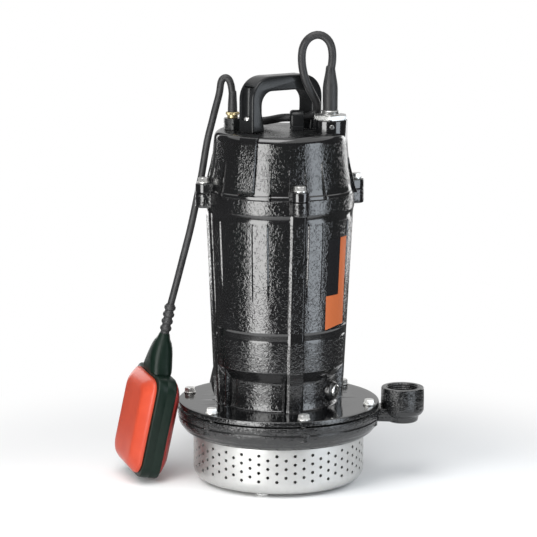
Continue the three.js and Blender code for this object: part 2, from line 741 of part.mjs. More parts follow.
add('cover_seal_ring', ring(ringOuterRadius - ringWidth, ringOuterRadius, seam - ringHeight, seam),
  blackRubber);

// ---- Top cover ----

function coverRadius(height) {
  const share = (height - coverBandHeight) / (coverHeight - coverShoulder - coverBandHeight);
  return coverShoulderRadius + (coverSkirtRadius - coverShoulderRadius) * (1 - share) ** coverCurve;
}

const handleAxis = at(1, handleTurn);
const screwReach = handleLength / 2 - handleChannelDepth + handleScrewHeadRadius + seat;
const glandBossTop = coverTop + glandBossHeight;

function topCover() {
  const sideHeight = coverHeight - coverShoulder - coverBandHeight;
  const sideLevels = [0.05, 0.3, 0.6, 1].map((u) => coverBandHeight + u * sideHeight);
  const side = sideLevels.map((level) => [coverRadius(level), coverBottom + level]);
  const roofUnder = coverTop - coverWall;
  const crown = [30, 60].map((a) => [
    coverFlatRadius + (coverShoulderRadius - coverFlatRadius) * Math.cos(rad(a)),
    coverTop - coverShoulder * (1 - Math.sin(rad(a)))]);
  const shell = turned([[0, coverTop], [coverFlatRadius, coverTop], ...crown.reverse(), ...side.reverse(),
    [bandRadius, coverBottom + coverBandHeight], [bandRadius, coverBottom],
    [coverSkirtRadius - coverWall, coverBottom], [coverShoulderRadius - coverWall, roofUnder - coverShoulder],
    [coverFlatRadius - coverWall / 2, roofUnder], [0, roofUnder]]);
  const lugs = lugAt.map((azimuth) => lug(azimuth, coverBottom, coverBottom + coverLugHeight));
  const ribs = spread(coverRibCount, coverRibTurn).map((azimuth) => upright([
    [coverSkirtRadius - 3, coverBottom + 1], [coverSkirtRadius + coverRibProud, coverBottom + 1],
    [coverRadius(coverRibHeight) + 0.4, coverBottom + coverRibHeight],
    [coverRadius(coverRibHeight) - 3, coverBottom + coverRibHeight]], coverRibWidth, azimuth));
  const [padTop, padFoot] = [coverTop - 0.4, coverBottom + coverBandHeight + 1];
  const pads = spread(2, handleTurn + handlePadTurn).map((azimuth) => upright([
    [coverFlatRadius, coverTop - coverWall / 2], [coverFlatRadius, padTop],
    [coverShoulderRadius + handlePadProud, padTop], [coverSkirtRadius + handlePadProud, padFoot],
    [coverSkirtRadius - 3, padFoot], [coverShoulderRadius - 3, coverTop - coverShoulder]],
  handlePadWidth, azimuth));
  const boss = drum(glandBossRadius, coverTop - glandBossDepth, glandBossTop, glandX, glandY, 24);
  const floatBoss = drum(floatNutRadius + 3, roofUnder - 6, coverTop - 1, floatGlandX, 0, 16);
  const glandBore = drum(powerCordRadius + 2, coverTop - glandBossDepth - 1, glandBossTop + 1, glandX, glandY);
  const floatBore = drum(floatCordRadius + 1, roofUnder - 7, coverTop + 1, floatGlandX, 0, 12);
  const lugHoles = lugAt.map((azimuth) => drum(boltRadius + seat, coverBottom - 1,
    coverBottom + coverLugHeight + 1, ...at(lugBoltCircle, azimuth), 8));
  const handleHoles = [1, -1].map((side) => drum(handleScrewRadius + seat, coverTop - coverWall + 1,
    coverTop + 1, side * screwReach * handleAxis[0], side * screwReach * handleAxis[1], 10));
  const lockHole = spoke(glandScrewRadius - 1 + seat, glandBossRadius - glandScrewLength - 1,
    glandBossRadius + 1, glandScrewTurn, 0, 10).translate(glandX, glandY, coverTop + glandBossHeight / 2);
  const holes = [glandBore, floatBore, ...lugHoles, ...handleHoles, lockHole];
  return cut(joined(shell, ...lugs, ...ribs, ...pads, boss, floatBoss), ...holes);
}

add('top_cover', topCover(), blackPaint);

const coverBolt = hexBolt(coverLugHeight + housingLugHeight - 2);
lugAt.forEach((azimuth, i) => {
  const bolt = add(`cover_bolt_${i + 1}`, coverBolt, stainless);
  bolt.position.set(...at(lugBoltCircle, azimuth), coverBottom + coverLugHeight + seat);
});

// ---- Handle and its screws ----

function handle() {
  const half = handleLength / 2;
  const r = handleCornerRadius;
  const outline = new THREE.Shape();
  outline.moveTo(-half, 0);
  outline.lineTo(half, 0);
  outline.lineTo(half, handleHeight - r);
  outline.absarc(half - r, handleHeight - r, r, 0, rad(90));
  outline.absarc(r - half, handleHeight - r, r, rad(90), rad(180));
  const inner = half - handleLegThickness;
  const innerCorner = r - handleLegThickness;
  const roof = handleHeight - handleBarHeight;
  const window = new THREE.Shape();
  window.moveTo(-inner, -1);
  window.lineTo(inner, -1);
  window.lineTo(inner, roof - innerCorner);
  window.absarc(inner - innerCorner, roof - innerCorner, innerCorner, 0, rad(90));
  window.absarc(innerCorner - inner, roof - innerCorner, innerCorner, rad(90), rad(180));
  const body = prism(outline, handleWidth, -handleWidth / 2);
  const gap = prism(window, handleWidth + 2, -handleWidth / 2 - 1);
  const channels = [1, -1].map((side) => block(side * half - handleChannelDepth,
    side * half + handleChannelDepth, handleFootHeight, roof, -handleChannelWidth / 2, handleChannelWidth / 2));
  const holes = [1, -1].map((side) => drum(handleScrewRadius + seat, -1, handleFootHeight + 1, 0, 0, 10)
    .rotateX(-Math.PI / 2).translate(side * screwReach, 0, 0));
  return cut(body, gap, ...channels, ...holes).rotateX(Math.PI / 2);
}

const handleMesh = add('handle', handle(), blackPlastic);
handleMesh.position.set(0, 0, coverTop + seat);
handleMesh.rotation.z = rad(handleTurn - 90);

[1, -1].forEach((side, i) => {
  const head = handleFootHeight + seat;
  const screw = turned([[0, 2 * seat - coverWall + 1], [handleScrewRadius, 2 * seat - coverWall + 1],
    [handleScrewRadius, head], [handleScrewHeadRadius, head],
    [handleScrewHeadRadius, head + 0.6 * handleScrewHeadHeight],
    [0.7 * handleScrewHeadRadius, head + handleScrewHeadHeight], [0, head + handleScrewHeadHeight]], 12);
  const mesh = add(`handle_screw_${i + 1}`, screw, stainless);
  mesh.position.set(side * screwReach * handleAxis[0], side * screwReach * handleAxis[1], coverTop + seat);
});

// ---- Power cord gland, boot and clamp ----

const glandNutBottom = glandBossTop + seat;
const collarTop = glandNutBottom + glandNutHeight + glandCollarHeight;

function glandNut() {
  const nut = hexagon(glandNutFlats, glandNutBottom, glandNutBottom + glandNutHeight, 30);
  const collar = turned([[0, glandNutBottom + 1], [glandCollarRadius, glandNutBottom + 1],
    [glandCollarRadius, collarTop - 2], [glandCollarRadius - 1.2, collarTop], [0, collarTop]], 20);
  const bore = drum(cordBootRadius + seat, glandNutBottom - 1, collarTop + 1, 0, 0, 16);
  return cut(joined(nut, collar), bore).translate(glandX, glandY, 0);
}

add('gland_nut', glandNut(), polishedSteel);

const bootTop = glandNutBottom + cordBootHeight;
add('cord_boot', turned([[0, glandNutBottom], [cordBootRadius, glandNutBottom], [cordBootRadius, collarTop + 4],
  [cordBootRadius - 1.6, collarTop + 18], [powerCordRadius + 1.2, bootTop], [0, bootTop]], 16)
  .translate(glandX, glandY, 0), blackRubber);

const lockHead = glandBossRadius + seat;
const lockScrew = spoke(glandScrewRadius, lockHead, lockHead + glandScrewHeadHeight, glandScrewTurn, 0, 12);
const lockShank = spoke(glandScrewRadius - 1, glandBossRadius - glandScrewLength, lockHead + 0.7,
  glandScrewTurn, 0, 10);
add('gland_lock_screw', joined(lockScrew, lockShank).translate(glandX, glandY, coverTop + glandBossHeight / 2),
  polishedSteel);

function cordClamp() {
  const half = clampWidth / 2;
  const outline = new THREE.Shape();
  outline.moveTo(-half, 0);
  outline.lineTo(half, 0);
  outline.lineTo(half, clampHeight - half);
  outline.absarc(0, clampHeight - half, half, 0, Math.PI);
  const saddle = prism(outline, clampLength, -clampLength / 2);
  const bore = drum(powerCordRadius + 3 * seat, -clampLength, clampLength, 0, clampBoreHeight, 12);
  return cut(saddle, bore).rotateX(Math.PI / 2).rotateZ(Math.PI / 2);
}

const clamp = add('cord_clamp', cordClamp(), blackPlastic);
clamp.position.set(clampX, clampY, coverTop + seat);

// ---- Power cord, coil and plug ----

const clampBore = coverTop + seat + clampBoreHeight;
const powerRoute = [
  [glandX, glandY, bootTop + seat], [glandX, glandY, 434], [52.6, -8, 443], [53, -7.8, 451], [51, -7.4, 461.5],
  [45, -7, 468.6], [37, -6.6, 470.6], [28.5, -6.2, 467], [22.8, -5.9, 459], [21.2, -5.6, 448],
  [22.2, -5.2, 436], [25.2, -4.2, 424], [29.8, -1.4, 413], [33.4, 1.6, 405], [34.8, 3.2, 397.6],
  [32.6, clampY, 390.2],
  [28, clampY, 386], [23.5, clampY, clampBore], [clampX, clampY, clampBore], [9, clampY, clampBore],
  [2.6, 5, 384.8], [-7, 12.4, 382], [-18.4, 25, 378.6], [-30.8, 39.4, 377.6], [-35.7, 45.7, 377.6],
  [-41, 52.5, 376.4], [-45.5, 58, 372.8], [-49.6, 63.2, 366], [-52.4, 66.9, 357.3], [-53.2, 68, 346],
  [-52.4, 67, 300], [-52.4, 67, 260], [-52.8, 67.6, 220], [-54.4, 69.6, 180], [-58.5, 75, 145],
  [-64.5, 83.5, 113], [-70, 91.5, 88], [-74, 98.5, 64], [-77.5, 106, 38], [-79.5, 116, 17], [-80, 130, 6.8],
  [-79.2, 146, 4.7], [-77, 165, 4.6], [-74.4, 184, 4.6], [-72.7, 203, 4.6]];
add('power_cord', cordTube(powerRoute, powerCordRadius, 14), blackRubber);

const cordDiameter = 2 * powerCordRadius;
const coilHalfWidth = (coilTurnsWide * cordDiameter) / 2;
const coilTop = coilTurnsHigh * cordDiameter;
add('cord_coil', ring(coilMeanRadius - coilHalfWidth, coilMeanRadius + coilHalfWidth, 0, coilTop, 28)
  .translate(coilX, coilY, 0), blackRubber);

const plugLevel = coilTop + seat + plugBodyThickness / 2;
const plugY = coilY - coilMeanRadius;
const tailLevel = coilTop + seat + powerCordRadius;
const onCoil = (angle, level) => [coilX + coilMeanRadius * Math.cos(rad(angle)),
  coilY + coilMeanRadius * Math.sin(rad(angle)), level];
const tailRoute = [onCoil(0, tailLevel), onCoil(-22, tailLevel), onCoil(-44, tailLevel + 1.5),
  onCoil(-66, (tailLevel + plugLevel) / 2 + 1.5), [coilX + 9, plugY, plugLevel], [coilX + 2, plugY, plugLevel]];
add('cord_tail', cordTube(tailRoute, powerCordRadius, 15), blackRubber);

function plugBody() {
  const slice = (width, thickness, reach) =>
    roundedRing(width, thickness, 0.35 * Math.min(width, thickness), reach);
  const boot = cordDiameter + 2.4;
  return loft([slice(boot, boot, 0), slice(boot + 3, boot + 3, plugBootLength),
    slice(plugBodyThickness, plugBodyWidth, plugBootLength + 8),
    slice(plugBodyThickness, plugBodyWidth, plugBootLength + plugBodyLength)]);
}

const plugGroup = new THREE.Group();
plugGroup.position.set(coilX + 2 - seat, plugY, plugLevel);
plugGroup.rotation.set(0, -Math.PI / 2, 0);
pump.add(plugGroup);

const plugFace = plugBootLength + plugBodyLength;
add('plug_body', plugBody(), blackRubber, plugGroup);
[1, -1].forEach((side, i) => {
  const blade = block(-bladeWidth / 2, bladeWidth / 2, -bladeThickness / 2, bladeThickness / 2,
    plugFace + seat, plugFace + seat + bladeLength);
  add(`plug_blade_${i + 1}`, blade.translate(bladeRise, (side * bladeSpacing) / 2, 0), brass, plugGroup);
});
add('plug_ground_pin', drum(groundPinRadius, plugFace + seat, plugFace + seat + groundPinLength,
  bladeRise - groundPinOffset, 0, 12), brass, plugGroup);

// ---- Float switch gland, boot and tether ----

const floatBaseTop = coverTop + seat + floatBaseHeight;
const floatNutBottom = floatBaseTop + seat;
const floatNutTop = floatNutBottom + floatNutHeight;
const glandBore = floatCordRadius + 1;

add('float_gland_base', cut(hexagon(floatBaseFlats, coverTop + seat, floatBaseTop),
  drum(glandBore, coverTop - 1, floatBaseTop + 1, 0, 0, 12)).translate(floatGlandX, 0, 0), blackPlastic);
const nutStep = floatNutBottom + 0.5 * floatNutHeight;
add('float_gland_nut', turned([[floatBootRadius + seat, floatNutBottom], [floatNutRadius - 1.2, floatNutBottom],
  [floatNutRadius - 1.2, nutStep], [floatNutRadius, nutStep], [floatNutRadius, floatNutTop],
  [floatBootRadius + seat, floatNutTop]], 14).translate(floatGlandX, 0, 0), brass);

const swingX = floatGlandX - floatCordReach;
const swingHeight = floatNutTop + floatCordRise;
const bendEnd = swingX + floatCordRadius + 1.5 * seat;
const bendRoute = [[floatGlandX, 0, floatNutTop + 15], [floatGlandX, 0, floatNutTop + 24],
  [floatGlandX - 1, 0, floatNutTop + 28.6], [bendEnd + 2.6, 0, swingHeight + 1.1],
  [bendEnd, 0, swingHeight + 1.4]];
const floatBoot = turned([[0, floatNutBottom], [floatBootRadius, floatNutBottom],
  [floatBootRadius, floatNutTop + 6], [floatCordRadius + 0.4, floatNutTop + 20], [0, floatNutTop + 20]], 12)
  .translate(floatGlandX, 0, 0);
add('float_boot', joined(floatBoot, cordTube(bendRoute, floatCordRadius, 3)), blackRubber);

const floatTop = [-flangeRadius - floatRest, 0, swingHeight - floatDrop];
const tetherOut = floatTop[0] - swingX;
const tetherShape = [[0.072, 0.044], [0.145, 0.11], [0.217, 0.178], [0.301, 0.258], [0.409, 0.411],
  [0.509, 0.53], [0.62, 0.653], [0.761, 0.784], [0.891, 0.903]]; // shares of the way out and down
const tetherRoute = [[swingX, 0, swingHeight - seat],
  ...tetherShape.map(([out, down]) => [swingX + out * tetherOut, 0, swingHeight - down * floatDrop]),
  [floatTop[0] + seat * Math.sin(rad(floatTilt)), 0, floatTop[2] + seat]];
add('float_cord', cordTube(tetherRoute, floatCordRadius, 16), blackRubber);

// ---- Float: rim with its neck, two shells, grommet, ball and switch ----

const hanging = new THREE.Group();
hanging.position.set(...floatTop);
hanging.rotation.y = rad(floatTilt);
pump.add(hanging);
const float = new THREE.Group();
float.rotation.z = rad(floatTurn);
hanging.add(float);

const neckTop = -floatGrommetLength - seat;
const rimTop = neckTop - floatNeckLength;
const rimMiddle = rimTop - floatLength / 2;
const rimBottom = rimTop - floatLength;

function grommet() {
  const pitch = floatGrommetLength / floatGrommetRibs;
  const core = floatCordRadius + 0.7;
  const teeth = spread(floatGrommetRibs, 0).flatMap((_, i) => [[floatGrommetRadius, -i * pitch],
    [floatGrommetRadius, -(i + 0.45) * pitch], [core, -(i + 0.75) * pitch]]);
  return turned([[0, 0], ...teeth, [core, -floatGrommetLength], [0, -floatGrommetLength]], 10);
}

// An outline that stands upright in the float's own plane, raised along its thickness.
const standing = (geometry) => geometry.rotateX(Math.PI / 2).translate(0, 0, rimMiddle);

function floatRim() {
  const half = floatRimThickness / 2;
  const outline = roundedOutline(floatWidth, floatLength, floatCornerRadius);
  const window = roundedOutline(floatWidth - 2 * floatRimWall, floatLength - 2 * floatRimWall,
    floatCornerRadius - floatRimWall / 2);
  const opening = prism(window, floatRimThickness + 2, -half - 1);
  const frame = standing(cut(prism(outline, floatRimThickness, -half), opening));
  const slice = (width, thickness, level) => roundedRing(width, thickness, 0.42 * thickness, level);
  const tip = 2 * (floatCordRadius + 1.2);
  const neck = loft([slice(tip, tip, neckTop), slice(20, 18, neckTop - 9), slice(26, 23, neckTop - 20),
    slice(40, 25, rimTop + 2), slice(40, floatRimThickness - 1.5, rimTop - 1.5),
    slice(38, floatRimThickness - 1.5, rimTop - 0.7 * floatRimWall)]);
  return joined(frame, neck);
}

function floatShell(side) {
  const [width, length] = [floatWidth - 2 * floatShellMargin, floatLength - 2 * floatShellMargin];
  const base = floatRimThickness / 2 + seat;
  const face = floatThickness / 2;
  const corner = floatCornerRadius - floatShellMargin;
  const shape = (margin, low, high) => loft([
    roundedRing(width - margin, length - margin, corner, low),
    roundedRing(width - margin, length - margin, corner, low + 0.25 * (high - low)),
    roundedRing(floatFaceWidth - margin, length - 2 * floatFaceInset - margin, 8, high)]);
  const hollow = shape(2 * floatShellWall, base - seat, face - floatShellWall);
  const shell = cut(shape(0, base, face), hollow);
  return standing(side > 0 ? shell : shell.rotateY(Math.PI));
}

const ballHeight = rimBottom + floatRimWall + floatBallRadius + seat;
const switchBottom = ballHeight + floatBallRadius + floatBallTravel + 1;
const switchDepth = floatThickness / 2 - floatShellWall - seat;

add('float_grommet', grommet(), rimPlastic, float);
add('float_rim', floatRim(), rimPlastic, float);
add('float_front_shell', floatShell(1), floatRed, float);
add('float_back_shell', floatShell(-1), floatRed, float);
add('float_ball', new THREE.IcosahedronGeometry(floatBallRadius, 1).translate(0, 0, ballHeight), steel, float);
add('float_switch', block(-floatSwitchWidth / 2, floatSwitchWidth / 2, -switchDepth, switchDepth, switchBottom,
  switchBottom + floatSwitchLength), blackPlastic, float);

export default pump;
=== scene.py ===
# Submersible sump pump with a float switch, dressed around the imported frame.
# Sizes are written in millimetres and turned into metres where a mesh is made. An azimuth is
# counted in degrees from the front (-Y), positive to the right.
import math

import bmesh
import bpy
import numpy as np
from mathutils import Matrix, Vector


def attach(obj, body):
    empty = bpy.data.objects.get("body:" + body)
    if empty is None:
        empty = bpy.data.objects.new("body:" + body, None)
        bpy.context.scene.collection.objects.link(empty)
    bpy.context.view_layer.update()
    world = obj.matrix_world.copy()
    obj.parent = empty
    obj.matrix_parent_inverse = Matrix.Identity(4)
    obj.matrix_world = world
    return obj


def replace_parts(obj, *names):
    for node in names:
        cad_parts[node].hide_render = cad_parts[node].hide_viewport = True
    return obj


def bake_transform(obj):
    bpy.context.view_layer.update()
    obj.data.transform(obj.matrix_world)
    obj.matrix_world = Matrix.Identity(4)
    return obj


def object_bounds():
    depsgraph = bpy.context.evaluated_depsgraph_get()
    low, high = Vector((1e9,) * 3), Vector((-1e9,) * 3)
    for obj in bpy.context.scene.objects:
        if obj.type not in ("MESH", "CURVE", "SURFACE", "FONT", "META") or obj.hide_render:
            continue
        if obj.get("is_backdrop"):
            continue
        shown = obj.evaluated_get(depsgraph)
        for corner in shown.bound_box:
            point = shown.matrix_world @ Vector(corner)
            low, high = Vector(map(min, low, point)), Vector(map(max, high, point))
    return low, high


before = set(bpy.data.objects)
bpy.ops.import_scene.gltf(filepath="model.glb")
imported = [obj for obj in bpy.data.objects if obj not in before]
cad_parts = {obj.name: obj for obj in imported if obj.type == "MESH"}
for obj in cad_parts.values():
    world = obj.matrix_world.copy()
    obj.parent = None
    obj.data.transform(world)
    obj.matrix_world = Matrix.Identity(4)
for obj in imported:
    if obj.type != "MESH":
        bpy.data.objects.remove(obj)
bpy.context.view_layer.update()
MM = 0.001


# ---- Camera -------------------------------------------------------------------------------
# A long lens about 2.6 m in front of the pump and a little above it, as the picture was taken.

CAMERA_PLACE = (-0.01167, -2.6, 0.7023)
CAMERA_PITCH = 10.38
CAMERA_ROLL = 0.35
CAMERA_LENS = 168.9

camera = bpy.data.objects.new("camera", bpy.data.cameras.new("camera"))
bpy.context.scene.collection.objects.link(camera)
camera.data.lens = CAMERA_LENS
camera.data.sensor_width = 36.0
camera.data.clip_end = 60.0
camera.matrix_world = (
    Matrix.Translation(CAMERA_PLACE)
    @ Matrix.Rotation(math.radians(90.0 - CAMERA_PITCH), 4, "X")
    @ Matrix.Rotation(math.radians(CAMERA_ROLL), 4, "Z")
)
bpy.context.scene.camera = camera


# ---- Studio: floor, surroundings and lamps ------------------------------------------------
# A pale floor that runs out to white, even light all round, a tall soft lamp at each side of
# the front that draws the long highlights on the enamel, and softer ones behind and above.

FLOOR_REACH = 14.0
LIT_FLOOR = (0.24, 0.50)  # the floor's own light and shade gives way to white between these
AMBIENT = 0.42
WHITE = (1.0, 1.0, 1.0, 1.0)

bpy.context.scene.view_settings.view_transform = "Standard"


def add_node(tree, kind, settings=(), **inputs):
    """A shader node with its settings, and its inputs set or linked by name."""
    made = tree.nodes.new("ShaderNode" + kind)
    for name, value in dict(settings).items():
        setattr(made, name, value)
    for name, value in inputs.items():
        socket = made.inputs[int(name[1:])] if name[0] == "_" else made.inputs[name.replace("_", " ")]
        if isinstance(value, bpy.types.NodeSocket):
            tree.links.new(value, socket)
        else:
            socket.default_value = value
    return made


def math_node(tree, operation, first, second=0.0, clamp=False):
    settings = {"operation": operation, "use_clamp": clamp}
    return add_node(tree, "Math", settings, _0=first, _1=second).outputs[0]


def mirror_rays(tree):
    """1 for what the camera, a reflection or glass sees directly, else 0."""
    path = add_node(tree, "LightPath").outputs
    seen = math_node(tree, "ADD", path["Is Camera Ray"], path["Is Glossy Ray"])
    return math_node(tree, "ADD", seen, path["Is Transmission Ray"], clamp=True)


world = bpy.data.worlds.new("studio")
bpy.context.scene.world = world
world.use_nodes = True
sky = world.node_tree
sky.nodes.clear()
even = add_node(sky, "Background", Color=(0.96, 0.98, 1.0, 1.0), Strength=AMBIENT)
white = add_node(sky, "Background", Color=WHITE, Strength=1.0)
both = add_node(sky, "MixShader", _0=mirror_rays(sky), _1=even.outputs[0], _2=white.outputs[0])
add_node(sky, "OutputWorld", Surface=both.outputs[0])

bpy.ops.mesh.primitive_plane_add(size=2.0 * FLOOR_REACH)
floor = bpy.context.object
floor.name = "floor"
paper = bpy.data.materials.new("white_paper")
paper.use_nodes = True
sheet = paper.node_tree
sheet.nodes.clear()
place = add_node(sheet, "TexCoord").outputs["Object"]
away = add_node(sheet, "VectorMath", {"operation": "LENGTH"}, _0=place).outputs["Value"]
far = add_node(sheet, "MapRange", {"interpolation_type": "SMOOTHSTEP"}, Value=away,
               From_Min=LIT_FLOOR[0], From_Max=LIT_FLOOR[1]).outputs[0]
lit = add_node(sheet, "BsdfDiffuse", Color=(0.93, 0.93, 0.93, 1.0))
plain = add_node(sheet, "Emission", Color=WHITE, Strength=1.0)
share = math_node(sheet, "MULTIPLY", far, mirror_rays(sheet))
mix = add_node(sheet, "MixShader", _0=share, _1=lit.outputs[0], _2=plain.outputs[0])
add_node(sheet, "OutputMaterial", Surface=mix.outputs[0])
floor.data.materials.append(paper)
floor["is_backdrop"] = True


def at(radius, azimuth, height=0.0):
    turn = math.radians(azimuth)
    return (radius * math.sin(turn), -radius * math.cos(turn), height)


# name, place, point that it faces, width, height, brightness of its face, tint
LAMPS = (
    ("lamp_front_left", at(0.47, -33.0, 0.27), (0, 0, 0.27), 0.25, 0.52, 6.4, (1.0, 1.0, 0.99)),
    ("lamp_front_right", at(0.50, 57.0, 0.27), (0, 0, 0.27), 0.23, 0.52, 3.5, (0.86, 0.93, 1.0)),
    ("lamp_back_left", at(0.90, -146.0, 0.32), (0, 0, 0.32), 0.20, 0.60, 3.2, (1.0, 1.0, 1.0)),
    ("lamp_back_right", at(0.90, 140.0, 0.32), (0, 0, 0.32), 0.22, 0.60, 3.2, (1.0, 1.0, 1.0)),
    ("lamp_above", (-0.25, -0.45, 1.5), (0, 0, 0.24), 0.9, 0.9, 3.6, (1.0, 1.0, 1.0)),
)

for name, place, aim, width, height, brightness, tint in LAMPS:
    data = bpy.data.lights.new(name, "AREA")
    data.shape = "RECTANGLE"
    data.size, data.size_y = width, height
    data.energy = brightness * math.pi * width * height
    data.color = tint
    lamp = bpy.data.objects.new(name, data)
    lamp.location = place
    lamp.rotation_euler = (Vector(aim) - Vector(place)).to_track_quat("-Z", "Y").to_euler()
    lamp.visible_camera = False
    bpy.context.scene.collection.objects.link(lamp)

# The dim room past the paper, which only reflections see: it keeps black paint black. A paler
# backdrop stands opposite the camera.
ROOM_RADIUS = 3.0
ROOM_HEIGHT = 2.4
PAPER_RADIUS = 0.42
PAPER_EDGE = 0.0006
ROOM_TONE, BACKDROP_TONE = 0.09, 0.72
ROOM_STEPS = 48


def reflected_only(name, start, end, inner, low, high, tone):
    """A glowing strip between two azimuths, out to the room's wall, that only gloss sees."""
    turns = np.linspace(start, end, ROOM_STEPS + 1)
    points = [at(inner, t, low) for t in turns] + [at(ROOM_RADIUS, t, high) for t in turns]
    upper = ROOM_STEPS + 1
    data = bpy.data.meshes.new(name)
    data.from_pydata(points, [], [(i, i + 1, upper + i + 1, upper + i) for i in range(ROOM_STEPS)])
    glow = bpy.data.materials.new(name)
    glow.use_nodes = True
    glow.node_tree.nodes.clear()
    shine = add_node(glow.node_tree, "Emission", Color=(tone, tone, tone, 1.0), Strength=1.0)
    add_node(glow.node_tree, "OutputMaterial", Surface=shine.outputs[0])
    data.materials.append(glow)
    card = bpy.data.objects.new(name, data)
    bpy.context.scene.collection.objects.link(card)
    card.visible_camera = card.visible_diffuse = card.visible_shadow = False
    card.visible_transmission = card.visible_volume_scatter = False
    card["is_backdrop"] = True


reflected_only("room_wall", -142, 142, ROOM_RADIUS, 0.0, ROOM_HEIGHT, ROOM_TONE)
reflected_only("room_backdrop", 142, 218, ROOM_RADIUS, 0.0, ROOM_HEIGHT, BACKDROP_TONE)
reflected_only("room_floor", -180, 180, PAPER_RADIUS, PAPER_EDGE, PAPER_EDGE, ROOM_TONE)


# ---- Strainer -----------------------------------------------------------------------------
# A basket pressed from 1.5 mm stainless sheet, punched all round with small round holes in
# staggered columns. It stands on a dished middle and on the heads of its three screws.

STRAINER_RADIUS = 90.2
STRAINER_WALL = 1.5
STRAINER_BOTTOM = 3.3
STRAINER_TOP = 53.7
STRAINER_CORNER = 12.0
STRAINER_TURN = -1.1
STRAINER_COLUMNS = 60
STRAINER_ROWS = 7
HOLE_ROW_STEP = 4.55
HOLE_LOWEST = 18.7
HOLE_RADIUS = 1.7
HOLES_FOOT = HOLE_LOWEST - HOLE_ROW_STEP / 2
HOLES_HEAD = HOLES_FOOT + STRAINER_ROWS * HOLE_ROW_STEP
CELL_SIDE = 4  # edges along each side of a punched cell
CELL_WIDTH = 360.0 / STRAINER_COLUMNS


def new_group(name, inputs, output):
    """A shader node group with its input sockets and one output socket."""
    tree = bpy.data.node_groups.new(name, "ShaderNodeTree")
    for label, value in inputs:
        tree.interface.new_socket(label, in_out="INPUT", socket_type="NodeSocketFloat").default_value = value
    tree.interface.new_socket(output[0], in_out="OUTPUT", socket_type="NodeSocket" + output[1])
    return tree, tree.nodes.new("NodeGroupInput").outputs, tree.nodes.new("NodeGroupOutput").inputs[0]


# Uneven: slow cloudy change between two values over the surface.
uneven, given, result = new_group(
    "uneven", (("Size", 0.02), ("Low", 0.0), ("High", 1.0)), ("Value", "Float"))
spot = add_node(uneven, "TexCoord").outputs["Object"]
density = math_node(uneven, "DIVIDE", 1.0, given["Size"])
cloud = add_node(uneven, "TexNoise", Vector=spot, Scale=density, Detail=4.0, Roughness=0.6)
spread_out = add_node(uneven, "MapRange", Value=cloud.outputs[0], From_Min=0.32, From_Max=0.68,
                      To_Min=given["Low"], To_Max=given["High"])
uneven.links.new(spread_out.outputs[0], result)

# Grained: fine even grain as a bumped normal, stretched along the axis where Stretch is small.
grained, given, result = new_group(
    "grained", (("Size", 0.0006), ("Depth", 0.00003), ("Stretch", 1.0)), ("Normal", "Vector"))
spot = add_node(grained, "TexCoord").outputs["Object"]
squeeze = add_node(grained, "CombineXYZ", X=1.0, Y=1.0, Z=given["Stretch"]).outputs[0]
spot = add_node(grained, "VectorMath", {"operation": "MULTIPLY"}, _0=spot, _1=squeeze).outputs[0]
density = math_node(grained, "DIVIDE", 1.0, given["Size"])
speck = add_node(grained, "TexNoise", Vector=spot, Scale=density, Detail=3.0, Roughness=0.55)
bumped = add_node(grained, "Bump", Strength=1.0, Distance=given["Depth"], Height=speck.outputs[0])
grained.links.new(bumped.outputs[0], result)


def place_group(tree, group, **inputs):
    """The output of a node group placed in a tree with these inputs."""
    made = add_node(tree, "Group", {"node_tree": group}, **inputs)
    return made.outputs[0]


def bare_material(name, **sockets):
    """A material whose shader has these plain values, and its node tree and shader."""
    made = bpy.data.materials.new(name)
    made.use_nodes = True
    shader = made.node_tree.nodes["Principled BSDF"]
    for label, value in sockets.items():
        shader.inputs[label.replace("_", " ")].default_value = value
    return made, made.node_tree, shader


def two_colours(tree, shader, first, second, size):
    """The base colour drifts between two colours in patches of a size."""
    patch = place_group(tree, uneven, Size=size, Low=0.0, High=1.0)
    mixed = add_node(tree, "Mix", {"data_type": "RGBA"}, _0=patch, _6=(*first, 1.0), _7=(*second, 1.0))
    tree.links.new(mixed.outputs[2], shader.inputs["Base Color"])


def worked(name, first, second, patch, rough, grain, stretch=1.0, **sockets):
    """A finished material: drifting colour, uneven roughness and a fine grain."""
    made, tree, shader = bare_material(name, **sockets)
    two_colours(tree, shader, first, second, patch)
    low, high, size = rough
    tree.links.new(place_group(tree, uneven, Size=size, Low=low, High=high), shader.inputs["Roughness"])
    normal = place_group(tree, grained, Size=grain[0], Depth=grain[1], Stretch=stretch)
    tree.links.new(normal, shader.inputs["Normal"])
    return made


pressed_stainless = worked(
    "pressed_stainless", (0.54, 0.54, 0.53), (0.63, 0.63, 0.62), 0.03,
    (0.38, 0.50, 0.012), (0.0007, 0.00002), 0.25, Metallic=1.0)


def spun(profile, azimuths):
    """Rings of points [radius, height] at these azimuths: an array rings x azimuths x 3."""
    radius, height = np.asarray(profile, float).T[:, :, None]
    turn = np.radians(azimuths)
    return np.stack([radius * np.sin(turn), -radius * np.cos(turn), height + 0 * turn], 2)


def arc(centre, radius, start, end, steps):
    """Points on an arc about a centre, angles anticlockwise from the first axis."""
    turns = np.radians(np.linspace(start, end, steps + 1))
    return [(centre[0] + radius * math.cos(t), centre[1] + radius * math.sin(t)) for t in turns]


def lofted(rings, ends="capped"):
    """The shape (points, faces) through rings of equally many points: its two ends are capped,
    left open, or looped to each other."""
    rings = np.asarray(rings, float)
    many, count = rings.shape[:2]
    faces = [[k * count + i, k * count + (i + 1) % count,
              (k + 1) % many * count + (i + 1) % count, (k + 1) % many * count + i]
             for k in range(many if ends == "looped" else many - 1) for i in range(count)]
    if ends == "capped":
        faces += [list(range(count))[::-1], list(range((many - 1) * count, many * count))]
    return rings.reshape(-1, 3), faces


